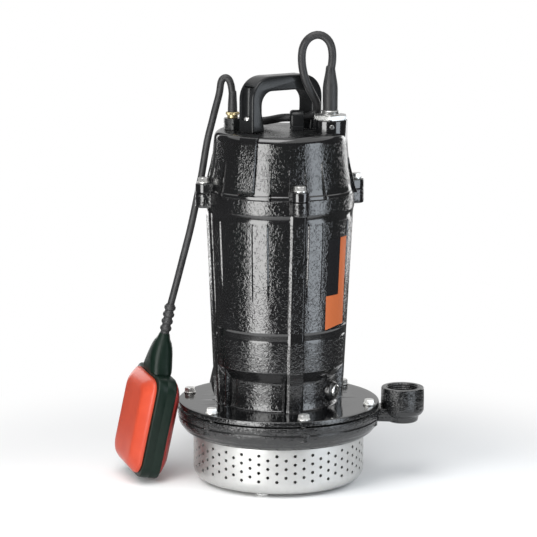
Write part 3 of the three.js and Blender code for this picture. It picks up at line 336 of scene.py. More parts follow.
def together(*shapes):
    """Several shapes as one."""
    faces, start = [], 0
    for points, own_faces in shapes:
        faces += [[start + corner for corner in face] for face in own_faces]
        start += len(points)
    return np.concatenate([np.asarray(points, float) for points, _ in shapes]), faces


def put_up(name, shape, body, material, sharp=32.0):
    """A mesh piece from a shape in millimetres, smooth up to a crease angle, on its body."""
    points, faces = shape
    data = bpy.data.meshes.new(name)
    data.from_pydata((np.asarray(points, float) * MM).tolist(), [], [list(f) for f in faces])
    data.validate()
    work = bmesh.new()
    work.from_mesh(data)
    bmesh.ops.remove_doubles(work, verts=work.verts, dist=1e-6)
    bmesh.ops.dissolve_degenerate(work, edges=work.edges, dist=1e-7)
    bmesh.ops.recalc_face_normals(work, faces=work.faces)
    work.to_mesh(data)
    work.free()
    data.materials.append(material)
    data.shade_smooth()
    data.set_sharp_from_angle(angle=math.radians(sharp))
    made = bpy.data.objects.new(name, data)
    bpy.context.scene.collection.objects.link(made)
    if body:
        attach(made, body)
    return made


def punched_wall():
    """Outer and inner skin with matching edges, joined through every punched hole."""
    points, index, faces = [], {}, []

    def corner(azimuth, height, inside):
        key = (round(azimuth % 360.0, 3) % 360.0, round(height, 3), inside)
        if key not in index:
            index[key] = len(points)
            points.append(at(STRAINER_RADIUS - STRAINER_WALL * inside, azimuth, height))
        return index[key]

    def both_skins(*places):
        for inside in (0, 1):
            quad = [corner(*place, inside) for place in places]
            faces.append(quad[::-1] if inside else quad)

    def plain_quad(a0, a1, z0, z1):
        both_skins((a0, z0), (a1, z0), (a1, z1), (a0, z1))

    side = np.linspace(-0.5, 0.5, CELL_SIDE + 1)
    cell = range(CELL_SIDE)
    for column in range(STRAINER_COLUMNS):
        middle = STRAINER_TURN + column * CELL_WIDTH
        edges = middle + side * CELL_WIDTH
        for row in range(STRAINER_ROWS):
            height = HOLE_LOWEST + row * HOLE_ROW_STEP
            levels = height + side * HOLE_ROW_STEP
            if (column + row) % 2:
                for i in cell:
                    for j in cell:
                        plain_quad(edges[i], edges[i + 1], levels[j], levels[j + 1])
                continue
            rim = ([(edges[i], levels[0]) for i in cell] + [(edges[-1], levels[j]) for j in cell]
                   + [(edges[-1 - i], levels[-1]) for i in cell] + [(edges[0], levels[-1 - j]) for j in cell])
            hole = []
            for a, z in rim:
                grow = HOLE_RADIUS / math.hypot(math.radians(a - middle) * STRAINER_RADIUS, z - height)
                hole.append((middle + (a - middle) * grow, height + (z - height) * grow))
            for k in range(len(rim)):
                n = (k + 1) % len(rim)
                both_skins(rim[k], rim[n], hole[n], hole[k])
                faces.append([corner(*hole[k], 0), corner(*hole[n], 0),
                              corner(*hole[n], 1), corner(*hole[k], 1)])
        for i in cell:
            plain_quad(edges[i], edges[i + 1], HOLES_HEAD, STRAINER_TOP - 1.0)
    return points, faces


# Below the holes the basket is a turned shape: corner, flat bottom, raised ring and dish. On
# top the rim's edges are just broken.
r, c, low = STRAINER_RADIUS, STRAINER_CORNER, STRAINER_BOTTOM
azimuths = STRAINER_TURN + (np.arange(STRAINER_COLUMNS * CELL_SIDE) / CELL_SIDE - 0.5) * CELL_WIDTH
skins = []
for inset in (0.0, STRAINER_WALL):
    bottom = [(r - inset, HOLES_FOOT)] + arc((r - c, low + c), c - inset, 0, -90, 8) + [
        (80.0, low + inset), (64.0, low + inset), (40.0, low + inset), (36.0, low + inset - 0.2),
        (31.0, inset + 0.2), (29.0, inset), (10.0, inset)]
    points, faces = lofted(spun(bottom, azimuths), "open")
    skins.append((points, faces + [list(range(len(points) - len(azimuths), len(points)))]))
broken = ((0.0, 1.0), (0.1, 0.25), (0.35, 0.0))
rim = [(r - inward, STRAINER_TOP - down) for inward, down in broken] + [
    (r - STRAINER_WALL + inward, STRAINER_TOP - down) for inward, down in broken[::-1]]
strainer = put_up("strainer_basket", together(punched_wall(), *skins, lofted(spun(rim, azimuths), "open")),
                  "pump", pressed_stainless)
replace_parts(strainer, "strainer")


# ---- Strainer screws ----------------------------------------------------------------------
# Three stainless screws hold the strainer to the legs of the suction cover. Their wide flat
# heads are also the feet that the pump stands on.

STRAINER_SCREW_TURN = -12.7
STRAINER_SCREW_CIRCLE = 72.0

cut_stainless = worked(
    "cut_stainless", (0.66, 0.66, 0.65), (0.76, 0.76, 0.75), 0.01,
    (0.12, 0.28, 0.004), (0.0004, 0.00001), Metallic=1.0)


def turned(profile, count, centre=(0.0, 0.0)):
    """A closed turned solid: a loop of [radius, height] points, the axis where radius is 0."""
    radii = [point[0] for point in profile]
    rings = spun(profile, np.arange(count) * 360.0 / count) + np.array([*centre[:2], 0.0])
    points, faces = lofted(rings, "looped")
    return points, [face for k, face in enumerate(faces)
                    if radii[k // count] or radii[(k // count + 1) % len(radii)]]


def eased(corners, steps=3):
    """A profile whose corners [radius, height, fillet] are rounded where a fillet is given."""
    out = []
    for k, corner in enumerate(corners):
        here = np.array(corner[:2], float)
        size = corner[2] if len(corner) > 2 else 0.0
        before = np.array(corners[k - 1][:2], float) - here
        after = np.array(corners[(k + 1) % len(corners)][:2], float) - here
        if not size:
            out.append(tuple(here))
            continue
        reach = min(size, 0.49 * np.linalg.norm(before), 0.49 * np.linalg.norm(after))
        start = here + before / np.linalg.norm(before) * reach
        end = here + after / np.linalg.norm(after) * reach
        for u in np.linspace(0, 1, steps + 1):
            out.append(tuple((1 - u) ** 2 * start + 2 * u * (1 - u) * here + u * u * end))
    return out


foot = eased([(0, 0.7), (2.6, 0.7, 0.2), (3.0, 0, 0.3), (7.2, 0, 0.8), (8, 1.2, 0.8), (8, 3.0, 0.2),
              (3, 3.0), (3, 10), (0, 10)])
for i in range(3):
    centre = at(STRAINER_SCREW_CIRCLE, STRAINER_SCREW_TURN + 120.0 * i)
    screw = put_up(f"strainer_foot_{i + 1}", turned(foot, 40, centre), "pump", cut_stainless)
    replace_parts(screw, f"strainer_screw_{i + 1}")


# ---- Pump casing with the discharge socket ------------------------------------------------
# An iron casting under thick black enamel, with a boss under each flange bolt. The socket
# stands beside it on a short neck and has a cut pipe thread.

FLANGE_BOLT_TURNS = tuple(15.0 + 60.0 * k for k in range(6))
FLANGE_BOLT_CIRCLE = 98.0
FLANGE_BOSS_RADIUS = 9.0
SOCKET_PLACE = (131.0, 0.0)
SOCKET_TOP = 100.0
SOCKET_BORE = 16.7
THREAD_PITCH = 2.3
THREAD_END = 74.0

# Wrinkled enamel: the leathery ripples and fine pits of thick paint on a raw casting, fading
# out where Smooth is 1.
wrinkled, given, result = new_group(
    "wrinkled", (("Size", 0.0024), ("Depth", 0.0004), ("Pits", 0.3), ("Smooth", 0.0)), ("Normal", "Vector"))
spot = add_node(wrinkled, "TexCoord").outputs["Object"]
density = math_node(wrinkled, "DIVIDE", 1.0, given["Size"])
fold = add_node(wrinkled, "TexNoise", Vector=spot, Scale=density, Detail=1.5, Roughness=0.45,
                Distortion=0.9).outputs[0]
crest = math_node(wrinkled, "ABSOLUTE", math_node(wrinkled, "SUBTRACT", fold, 0.5))
crest = add_node(wrinkled, "MapRange", {"interpolation_type": "SMOOTHSTEP"}, Value=crest,
                 From_Min=0.0, From_Max=0.30, To_Min=0.0, To_Max=1.0).outputs[0]
fine = add_node(wrinkled, "TexNoise", Vector=spot, Scale=math_node(wrinkled, "MULTIPLY", density, 3.1),
                Detail=2.0, Roughness=0.6).outputs[0]
height = math_node(wrinkled, "ADD", crest, math_node(wrinkled, "MULTIPLY", fine, given["Pits"]))
keep = math_node(wrinkled, "SUBTRACT", 1.0, given["Smooth"], clamp=True)
height = math_node(wrinkled, "MULTIPLY", height, keep)
bumped = add_node(wrinkled, "Bump", Strength=1.0, Distance=given["Depth"], Height=height)
wrinkled.links.new(bumped.outputs[0], result)


def enamel(name, size, depth, pits, smooth_levels=(), rough=(0.05, 0.11), tone=0.0038, shine=1.0):
    """Black enamel on a casting; it lies smooth in each band (low, high, soft) of height, mm."""
    made, tree, shader = bare_material(name, Specular_IOR_Level=shine)
    two_colours(tree, shader, (tone, tone, tone * 1.08), (tone * 1.7, tone * 1.75, tone * 1.9), 0.03)
    value = place_group(tree, uneven, Size=0.02, Low=rough[0], High=rough[1])
    tree.links.new(value, shader.inputs["Roughness"])
    spot = add_node(tree, "TexCoord").outputs["Object"]
    level = add_node(tree, "SeparateXYZ", _0=spot).outputs[2]
    smooth = 0.0
    for low, high, soft in smooth_levels:
        rise = add_node(tree, "MapRange", Value=level, From_Min=(low - soft) * MM,
                        From_Max=(low + soft) * MM).outputs[0]
        fall = add_node(tree, "MapRange", Value=level, From_Min=(high - soft) * MM,
                        From_Max=(high + soft) * MM, To_Min=1.0, To_Max=0.0).outputs[0]
        smooth = math_node(tree, "MAXIMUM", smooth, math_node(tree, "MULTIPLY", rise, fall))
    if smooth_levels:
        smooth = math_node(tree, "MULTIPLY", smooth, 0.93)
    normal = place_group(tree, wrinkled, Size=size, Depth=depth, Pits=pits, Smooth=smooth)
    tree.links.new(normal, shader.inputs["Normal"])
    return made


casing_enamel = enamel(
    "casing_enamel", 0.0028, 0.00030, 0.3, ((50.0, 60.5, 0.8), (70.2, 72.0, 0.4)), shine=0.75)


def merge(target, shape, operation="UNION"):
    """A closed shape is joined to the target, or cut from it."""
    tool = put_up("tool", shape, None, target.data.materials[0])
    change = target.modifiers.new("shape", "BOOLEAN")
    change.operation, change.object, change.solver = operation, tool, "MANIFOLD"
    graph = bpy.context.evaluated_depsgraph_get()
    shaped = bpy.data.meshes.new_from_object(target.evaluated_get(graph))
    target.modifiers.clear()
    target.data = shaped
    bpy.data.objects.remove(tool)


def finished(piece, sharp, node):
    """A piece put together from several forms gets its shading, and stands for a node."""
    piece.data.shade_smooth()
    piece.data.set_sharp_from_angle(angle=math.radians(sharp))
    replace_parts(piece, node)


def raised(outline, levels, insets):
    """An outline of [x, y] points raised through levels, drawn in by an inset at each."""
    ring = np.asarray(outline, float)
    ahead, behind = np.roll(ring, -1, 0) - ring, ring - np.roll(ring, 1, 0)
    ahead /= np.linalg.norm(ahead, axis=1)[:, None]
    behind /= np.linalg.norm(behind, axis=1)[:, None]
    side = np.stack([-(ahead + behind)[:, 1], (ahead + behind)[:, 0]], 1)
    side /= np.maximum(0.5, np.sum(side * side, 1)[:, None] / 2)
    return lofted([np.column_stack([ring + side * inset, np.full(len(ring), z)])
                   for z, inset in zip(levels, insets)])


def spin(degrees):
    return np.array(Matrix.Rotation(math.radians(degrees), 3, "Z"))


def moved(shape, turn=spin(0.0), offset=(0.0, 0.0, 0.0)):
    """A shape turned by a matrix and then moved."""
    points, faces = shape
    return np.asarray(points, float) @ np.asarray(turn, float).T + np.asarray(offset, float), faces


def facing(shape, azimuth, centre=(0.0, 0.0, 0.0)):
    """A shape drawn with its outward side along +Y, turned to face an azimuth."""
    return moved(shape, spin(azimuth - 180.0), centre)


casing_profile = eased([
    (62.3, 54.0), (96.2, 54.0, 0.8), (97.6, 55.5, 0.8), (100.6, 57.2, 1.5), (102.4, 60.4, 1.2),
    (104.2, 62.0, 1.5), (106.0, 66.0, 1.5), (106.4, 70.4, 0.5), (105.7, 70.9, 0.3), (105.7, 71.6, 0.3),
    (106.9, 72.2, 0.6), (107.0, 79.4, 1.0), (75.3, 79.4), (75.3, 75.4), (70.5, 75.4), (70.5, 73.4),
    (80.0, 73.4), (80.0, 58.0), (62.3, 58.0)], 4)
casing = put_up("casing_casting", turned(casing_profile, 288), "pump", casing_enamel)
boss = raised(arc((0.0, FLANGE_BOLT_CIRCLE), FLANGE_BOSS_RADIUS, 0, 345, 23),
              (63.5, 64.4, 76.5), (1.2, 0.0, 0.0))
for azimuth in FLANGE_BOLT_TURNS:
    merge(casing, facing(boss, azimuth))
neck = [(84.0, -11.0), (104.0, -15.0), (116.0, -16.0), (131.0, -15.0), (131.0, 15.0), (116.0, 16.0),
        (104.0, 15.0), (84.0, 11.0)]
merge(casing, raised(neck, (64.8, 66.5, 69.0, 75.0, 78.3, 78.9), (3.5, 1.2, 0.2, 0.0, 0.4, 1.4)))
cup = eased([(0, 63.0), (14.8, 63.0, 1.2), (16.6, 64.2, 1.2), (17.6, 69.6, 1.0), (20.4, 71.4, 2.0),
             (22.9, 75.0, 2.5), (22.9, 82.0, 2.0), (22.5, 99.0, 0.5),
             (21.9, SOCKET_TOP, 0.5), (0, SOCKET_TOP)], 4)
merge(casing, turned(cup, 96, SOCKET_PLACE))
bore = [(0, SOCKET_TOP + 1.0), (17.9, SOCKET_TOP + 1.0), (17.9, SOCKET_TOP),
        (SOCKET_BORE + 0.25, SOCKET_TOP - 1.5)]
for level in np.arange(SOCKET_TOP - 1.8, THREAD_END, -THREAD_PITCH):
    bore += [(SOCKET_BORE - 0.55, level), (SOCKET_BORE + 0.35, level - THREAD_PITCH / 2)]
bore += [(SOCKET_BORE, 73.0), (SOCKET_BORE, 67.0), (0, 67.0)]
merge(casing, turned(bore, 96, SOCKET_PLACE), "DIFFERENCE")
finished(casing, 34.0, "pump_casing")


# ---- Motor housing ------------------------------------------------------------------------
# One tall casting: the clamping flange at its foot, a recessed lower wall between ribs, a
# slightly conical body with four columns and shallow pads, and the band with its four lugs.

FLANGE_BOTTOM = 80.6
FLANGE_TOP = 86.0
FLANGE_RADIUS = 106.0
SEAM = 309.0
LUG_TURNS = (14.2, 104.2, 194.2, 284.2)
LUG_REACH = 90.5
LUG_WIDTH = 18.0
COLUMN_WIDTH = 15.5
PAD_TURNS = tuple(-61.0 + 45.0 * k for k in range(8))
PAD_WIDTH = 16.6
PAD_PROUD = 1.3
RIB_TURNS = (4.6, 124.6, 184.6, 304.4, 230.0, 260.0)  # thin ribs at the ends of the recesses
RECESS_TOP = 126.0
OIL_PLUG_TURN = 62.0
OIL_PLUG_LEVEL = 102.0

housing_enamel = enamel(
    "housing_enamel", 0.0032, 0.00018, 0.15,
    ((117.0, 128.0, 1.0), (160.5, 170.5, 1.0), (285.0, 294.0, 0.8)), (0.10, 0.16))
flange_enamel = enamel("flange_enamel", 0.0060, 0.00003, 0.1, (), (0.04, 0.10), 0.003)


def smooth_max(a, b, soft):
    share = np.clip(0.5 + 0.5 * (a - b) / soft, 0.0, 1.0)
    return b + (a - b) * share + soft * share * (1.0 - share)


def ease(value, low, high):
    """0 below low, 1 above high, and smooth between them."""
    share = np.clip((value - low) / (high - low), 0.0, 1.0)
    return share * share * (3.0 - 2.0 * share)


def turn_from(azimuths, middle):
    """Signed angle in degrees from a middle azimuth."""
    return (np.asarray(azimuths) - middle + 180.0) % 360.0 - 180.0


def body_radius(level):
    """The plain wall: recess, belly and groove as drawn, and above them a slight cone."""
    if level < 172.0:
        return np.interp(
            level, [86, 88.5, 93, 115.5, 118, 122, 126, 127.6, 128.2, 160.5, 161.5, 168.5, 170.6, 172.0],
            [62.2, 61.0, 60.5, 60.5, 61.4, 64.6, 67.4, 68.1, 68.6, 70.1, 69.7, 70.5, 71.1, 71.0])
    return 70.3 + 5.3 * ((level - 164.0) / 130.0) ** 1.15 + 0.32 * (1 - ease(level, 172, 230))


def housing_wall(azimuths, level):
    """Radius all round at one height, with columns, ribs, pads and the band."""
    plain = float(body_radius(level))
    radius = np.full(len(azimuths), plain)
    for middle in PAD_TURNS:
        turn = turn_from(azimuths, middle)
        across = np.abs(np.radians(turn)) * radius
        high = ease(level, 196, 236) * (1 - ease(level, 281.5, 285.0))
        end = 1 - ease(across, PAD_WIDTH / 2 - 1.0, PAD_WIDTH / 2 + 0.8)
        flat = (plain + PAD_PROUD - 0.45) / np.cos(np.radians(np.clip(turn, -10, 10))) - plain
        radius = radius + flat * high * end
    for middle in RIB_TURNS if level < RECESS_TOP else ():
        across = np.abs(np.radians(turn_from(azimuths, middle))) * 66.0
        radius = smooth_max(radius, 67.6 - 8.5 * ease(across, 0.7, 2.0), 0.5)
    face = np.interp(level, [86, 128, 294, 296], [68.1, 70.1, 78.2, 78.3])
    for middle in LUG_TURNS:
        turn = turn_from(azimuths, middle)
        across = np.abs(np.sin(np.radians(turn))) * face
        flat = face / np.cos(np.radians(np.clip(turn, -12, 12)))
        slope = 0.72 * np.clip(across - COLUMN_WIDTH / 2 + 1.4, 0.0, 2.6)
        slope += 3.0 * np.clip(across - 9.0, 0.0, 9.0)
        radius = smooth_max(radius, np.where(np.abs(turn) < 12.0, flat - slope, 0.0), 0.5)
    if level > 284.0:
        lip = np.interp(level, [284.0, 288.0, 291.5, 293.6, 294.6, 295.6, 307.9, 308.6, 309.0],
                        [74.6, 75.4, 76.4, 77.15, 77.35, 77.4, 77.4, 77.2, 76.8])
        radius = smooth_max(radius, lip, 0.3)
    return radius


def wrapped(rows, azimuths):
    """A closed skin from rows of (radii, height), joined round and from last row to first."""
    turn = np.radians(azimuths)
    rings = [np.stack([r * np.sin(turn), -r * np.cos(turn), h + 0 * turn], 1) for r, h in rows]
    return lofted(rings, "looped")


def fine_azimuths(middles, half, step, coarse):
    """Azimuths all round, closer together within half a width of the named ones."""
    plain = np.arange(0.0, 360.0, coarse)
    close = [np.arange(m - half, m + half + 1e-6, step) for m in middles]
    every = np.unique(np.round(np.concatenate([plain, *close]) % 360.0, 3))
    keep = [every[0]]
    for value in every[1:]:
        if value - keep[-1] > 0.4 * step:
            keep.append(value)
    return np.array(keep)


edge_turns = [m + s * 6.1 for m in LUG_TURNS for s in (-1, 1)] + [
    m + s * 6.5 for m in PAD_TURNS for s in (-1, 1)] + list(RIB_TURNS)
azimuths = fine_azimuths(edge_turns, 2.0, 0.25, 1.0)
levels = np.unique(np.concatenate([
    np.arange(87.6, 128, 2.0), np.arange(126, 129, 0.4), np.arange(129, 160, 3.0), np.arange(160, 173, 0.75),
    np.arange(173, 282, 3.0), np.arange(281, 287, 0.6), np.arange(287, 293, 1.5),
    np.arange(292.8, 296.2, 0.4), np.arange(297, 307.5, 2.5), [307.9, 308.3, 308.6, 308.85, 309.0]]))
foot = housing_wall(azimuths, 87.0)
rows = [(54.0, FLANGE_BOTTOM), (FLANGE_RADIUS - 0.5, FLANGE_BOTTOM), (FLANGE_RADIUS, FLANGE_BOTTOM + 0.5),
        (FLANGE_RADIUS, FLANGE_TOP - 1.1), (FLANGE_RADIUS - 0.2, FLANGE_TOP - 0.5),
        (FLANGE_RADIUS - 0.7, FLANGE_TOP - 0.1), (FLANGE_RADIUS - 1.3, FLANGE_TOP),
        (100.0, FLANGE_TOP), (92.0, FLANGE_TOP), (84.0, FLANGE_TOP), (foot + 2.2, FLANGE_TOP),
        (foot + 1.0, FLANGE_TOP + 0.15), (foot + 0.35, FLANGE_TOP + 0.6)]
rows += [(housing_wall(azimuths, z), z) for z in levels]
rows += [(71.0, SEAM), (68.6, SEAM), (68.6, 290.0), (54.0, 286.0), (54.0, 130.0)]
housing = put_up("housing_casting", wrapped(rows, azimuths), "pump", housing_enamel)

half = LUG_WIDTH / 2
lug = [(-half - 3.5, 70.0), (half + 3.5, 70.0), (half + 0.8, 78.5)] + arc(
    (0.0, LUG_REACH - half), half, 0, 180, 18) + [(-half - 0.8, 78.5)]
for middle in LUG_TURNS:
    merge(housing, facing(raised(lug, (294.0, 294.5, 295.4, 307.8, 308.6, 309.0),
                                 (1.5, 0.6, 0.0, 0.0, 0.3, 0.9)), middle))

LAID_DOWN = ((1, 0, 0), (0, 0, 1), (0, 1, 0))  # what stood up now points along +Y


def spoke(profile, count, azimuth, level):
    """A solid turned about a line that points out along an azimuth; heights become radii."""
    return facing(moved(turned(profile, count), LAID_DOWN), azimuth, (0.0, 0.0, level))


boss = eased([(0, 55.0), (10.5, 55.0), (10.0, 64.6, 0.8), (9.2, 65.5, 0.6), (0, 65.5)])
merge(housing, spoke(boss, 40, OIL_PLUG_TURN, OIL_PLUG_LEVEL))


def second_finish(piece, material, holds):
    """The upward faces of a piece whose level holds a condition take a second material."""
    piece.data.materials.append(material)
    for polygon in piece.data.polygons:
        if polygon.normal.z > 0.7 and holds(polygon.center.z / MM):
            polygon.material_index = 1


second_finish(housing, flange_enamel, lambda level: level < FLANGE_TOP + 0.4)
finished(housing, 34.0, "motor_housing")


# ---- Oil plug -----------------------------------------------------------------------------
# A slotted stainless plug closes the oil chamber through a boss on the lower wall.

OIL_PLUG_SLOT = 1.8

plug = eased([(0, 65.8), (6.7, 65.8), (6.9, 66.4, 0.3), (6.6, 68.0, 0.5), (5.6, 68.4, 0.2), (0, 68.4)])
oil_plug = put_up("oil_chamber_plug", spoke(plug, 40, OIL_PLUG_TURN, OIL_PLUG_LEVEL),
                  "pump", cut_stainless)
half = OIL_PLUG_SLOT / 2
slot = raised([(-half, 67.4), (half, 67.4), (half, 70.0), (-half, 70.0)], (-8.0, 8.0), (0.0, 0.0))
merge(oil_plug, facing(slot, OIL_PLUG_TURN, (0.0, 0.0, OIL_PLUG_LEVEL)), "DIFFERENCE")
finished(oil_plug, 30.0, "oil_plug")


# ---- Sticker ------------------------------------------------------------------------------
# A bare printed film on the housing's right front: black, with an orange stripe up its side
# and an orange foot. It follows the wall.

STICKER_TURNS = (42.5, 67.0)
STICKER_TOP = 266.5
STRIPE_TURN = 57.0
STRIPE_FOOT = 207.0
FILM_THICKNESS = 0.12
FILM_ROWS, FILM_COLUMNS = 24, 14

sticker_black, _, _ = bare_material(
    "sticker_black", Base_Color=(0.010, 0.010, 0.011, 1.0), Roughness=0.22, Specular_IOR_Level=0.4)
sticker_orange, _, _ = bare_material(
    "sticker_orange", Base_Color=(0.50, 0.125, 0.038, 1.0), Roughness=0.3, Specular_IOR_Level=0.4)


def film(name, turns, foot, head, proud, material):
    """A thin sheet on the wall between two azimuths; its foot may slope from left to right."""
    across = np.linspace(*turns, FILM_COLUMNS)
    low = np.linspace(*foot, FILM_COLUMNS)
    turn = np.radians(across)
    rings = []
    for share in np.linspace(0.0, 1.0, FILM_ROWS):
        level = low + share * (head - low)
        wall = np.array([housing_wall(np.array([a]), z)[0] for a, z in zip(across, level)]) + proud
        outer, inner = (np.stack([r * np.sin(turn), -r * np.cos(turn), level], 1)
                        for r in (wall, wall - FILM_THICKNESS))
        rings.append(np.concatenate([outer, inner[::-1]]))
    put_up(name, lofted(rings), "pump", material, 40.0)


left, right = STICKER_TURNS
film("sticker_film", (left, right), (176.0, 176.0), STICKER_TOP, 0.16, sticker_black)
film("sticker_stripe", (STRIPE_TURN, right + 0.1), (174.0, 174.0), STICKER_TOP + 0.1, 0.28, sticker_orange)
film("sticker_foot", (left - 0.9, STRIPE_TURN + 0.1), (171.5, 174.0), STRIPE_FOOT, 0.27, sticker_orange)


# ---- Hexagon bolts and washers ------------------------------------------------------------
# Zinc plated M6 bolts with plain washers: six through the flange and four through the lugs.

LUG_BOLT_CIRCLE = 82.0
FLANGE_BOLT_BASE, LUG_BOLT_BASE = 86.3, 319.6
BOLT_FLATS = 10.0

plated_steel = worked(
    "plated_steel", (0.70, 0.70, 0.68), (0.80, 0.79, 0.77), 0.006, (0.30, 0.42, 0.003),
    (0.0003, 0.000012), Metallic=0.8)


def hexed(shape, flats, centre=(0.0, 0.0), turn=0.0):
    """A turned shape pulled in to the flats of a hexagon about a centre."""
    points, faces = shape
    rel = points[:, :2] - np.asarray(centre)
    reach = np.hypot(rel[:, 0], rel[:, 1])
    turns = np.degrees(np.arctan2(rel[:, 1], rel[:, 0])) - turn
    sector = np.radians((turns + 30.0) % 60.0 - 30.0)
    scale = np.minimum(1.0, flats / 2 / np.cos(sector) / np.maximum(reach, 1e-6))
    points[:, :2] = rel * scale[:, None] + np.asarray(centre)
    return points, faces


corner = BOLT_FLATS / math.sqrt(3)
washer = turned(eased([(3.0, 0.0), (6.4, 0.0, 0.2), (6.4, 1.4, 0.35), (3.0, 1.4)]), 40)
head = turned([(0, 1.3), (corner * 0.93, 1.3), (corner, 1.7), (corner, 5.0), (corner * 0.86, 5.6),
               (0, 5.8)], 36)
shank = turned([(0, -12.0), (2.9, -12.0), (2.9, 1.35), (0, 1.35)], 20)
bolt = together(washer, hexed(head, BOLT_FLATS, turn=30.0), shank)
# what the bolt holds, circle, azimuth, base, turn from one bolt to the next, turn of the first
bolts = [("flange", FLANGE_BOLT_CIRCLE, azimuth, FLANGE_BOLT_BASE, 17.0, 8.0)
         for azimuth in FLANGE_BOLT_TURNS]
bolts += [("cover", LUG_BOLT_CIRCLE, azimuth, LUG_BOLT_BASE, 23.0, 5.0) for azimuth in LUG_TURNS]
for k, (holds, circle, azimuth, base, turn_step, first_turn) in enumerate(bolts):
    i = k if holds == "flange" else k - len(FLANGE_BOLT_TURNS)
    shape = moved(bolt, spin(turn_step * i + first_turn), at(circle, azimuth, base))
    piece = put_up(f"{holds}_fixing_{i + 1}", shape, "pump", plated_steel, 25.0)
    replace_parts(piece, f"{holds}_bolt_{i + 1}")


# ---- Top cover ----------------------------------------------------------------------------
# A cast cap on the same four lugs, with eight short tapering ribs, two pads that carry the
# ends of the handle, a smooth rounded shoulder and a round boss for the cord gland.

COVER_BOTTOM = 309.3
COVER_TOP = 372.5
COVER_RIB_TURNS = tuple(36.7 + 45.0 * k for k in range(8))
LUG_RIB_TURNS = tuple(middle + side for middle in LUG_TURNS for side in (-6.6, 6.6))
COVER_PAD_TURNS = (-28.0, 152.0)
GLAND_PLACE = (51.0, -8.0)
GLAND_BOSS_RADIUS = 18.0
GLAND_BOSS_TOP = 385.0

cover_enamel = enamel(
    "cover_enamel", 0.0028, 0.00016, 0.2, ((365.0, 400.0, 1.5), (309.0, 318.0, 1.0)), (0.09, 0.15))
crown_enamel = enamel("crown_enamel", 0.0035, 0.00010, 0.4, (), (0.20, 0.34), 0.0045)


def cover_wall(azimuths, level):
    """Radius all round at one height, with the ribs between the lugs and beside them."""
    plain = np.interp(level, [309.3, 309.7, 312.6, 313.2, 316.0, 325.6, 336, 352, 366],
                      [77.0, 77.4, 77.4, 76.4, 75.4, 74.0, 72.0, 70.2, 69.1])
    radius = np.full(len(azimuths), float(plain))
    tallest = float(1 - ease(level, 345.0, 350.0))
    for middle in COVER_RIB_TURNS:
        across = np.abs(np.radians(turn_from(azimuths, middle))) * 74.0
        lean = np.interp(level, [309, 347], [3.4, 0.9])
        rib = plain + (lean + 6.0) * tallest - 6.0 - 9.0 * ease(across, 0.9, 2.2)
        radius = smooth_max(radius, rib, 0.5)
    for middle in LUG_RIB_TURNS:
        across = np.abs(np.radians(turn_from(azimuths, middle))) * 74.0
        lean = np.interp(level, [309, 343], [2.2, -0.1])
        radius = smooth_max(radius, plain + lean - 7.0 * ease(across, 0.6, 1.7), 0.3)
    return radius


azimuths = fine_azimuths(COVER_RIB_TURNS + LUG_RIB_TURNS, 2.0, 0.3, 1.25)
levels = np.unique(np.concatenate([
    [309.3, 309.5, 309.8], np.arange(310.5, 314, 0.5), np.arange(314, 345, 2.5), np.arange(344, 351, 1.0),
    np.arange(352, 366.5, 3.5)]))
rows = [(66.0, COVER_BOTTOM)] + [(cover_wall(azimuths, z), z) for z in levels]
rows += arc((61.6, 365.0), 7.5, 0, 90, 8)[1:]
rows += [(55.0, COVER_TOP), (40.0, COVER_TOP), (20.0, COVER_TOP), (1.0, COVER_TOP),
         (1.0, 366.5), (57.0, 366.5), (63.0, 360.0)]
cover = put_up("cover_casting", wrapped(rows, azimuths), "pump", cover_enamel)
for middle in LUG_TURNS:
    merge(cover, facing(raised(lug, (309.3, 309.7, 310.5, 318.0, 318.9, 319.3),
                               (0.9, 0.3, 0.0, 0.0, 0.4, 1.2)), middle))
# A pad leans with the wall: it reaches further out at its foot than at the crown.
rings = []
for edge, face, levels, insets in ((76.4, 77.8, (314.3, 315.3), (1.0, 0.0)),
                                   (70.0, 71.3, (371.2, 372.3), (0.0, 0.9))):
    pad = [(-10.0, 60.0), (10.0, 60.0), (10.0, edge), (9.0, face), (-9.0, face), (-10.0, edge)]
    rings += raised(pad, levels, insets)[0].reshape(2, len(pad), 3).tolist()
for middle in COVER_PAD_TURNS:
    merge(cover, facing(lofted(rings), middle))
boss = eased([(0, 360.0), (GLAND_BOSS_RADIUS, 360.0), (GLAND_BOSS_RADIUS, GLAND_BOSS_TOP, 1.2),
              (0, GLAND_BOSS_TOP)])
merge(cover, turned(boss, 72, GLAND_PLACE))
second_finish(cover, crown_enamel, lambda level: level > COVER_TOP - 0.3)
finished(cover, 34.0, "top_cover")


# ---- Inside: suction cover, wet end, rotor, stator and bearings ----------------------------
# Hidden behind the castings and the strainer, but finished as what they are: raw iron, brass,
# ground steel, lacquered windings and the pale can of the capacitor.

raw_iron = worked("raw_iron", (0.10, 0.10, 0.105), (0.19, 0.18, 0.175), 0.01, (0.5, 0.75, 0.004),
                  (0.0009, 0.00008), Metallic=0.6)
ground_steel = worked("ground_steel", (0.45, 0.45, 0.46), (0.56, 0.56, 0.57), 0.015, (0.22, 0.4, 0.004),
                      (0.0004, 0.00001), 0.2, Metallic=1.0)
lacquered_copper = worked("lacquered_copper", (0.45, 0.16, 0.06), (0.55, 0.23, 0.10), 0.004,
                          (0.25, 0.45, 0.003), (0.0009, 0.0002), 0.3, Metallic=0.7, Coat_Weight=0.4)
cast_brass = worked("cast_brass", (0.55, 0.38, 0.15), (0.68, 0.50, 0.22), 0.006, (0.25, 0.42, 0.004),
                    (0.0006, 0.00003), Metallic=1.0)
seal_ceramic = worked("seal_ceramic", (0.62, 0.60, 0.55), (0.70, 0.68, 0.63), 0.005, (0.2, 0.35, 0.003),
                      (0.0003, 0.00001))
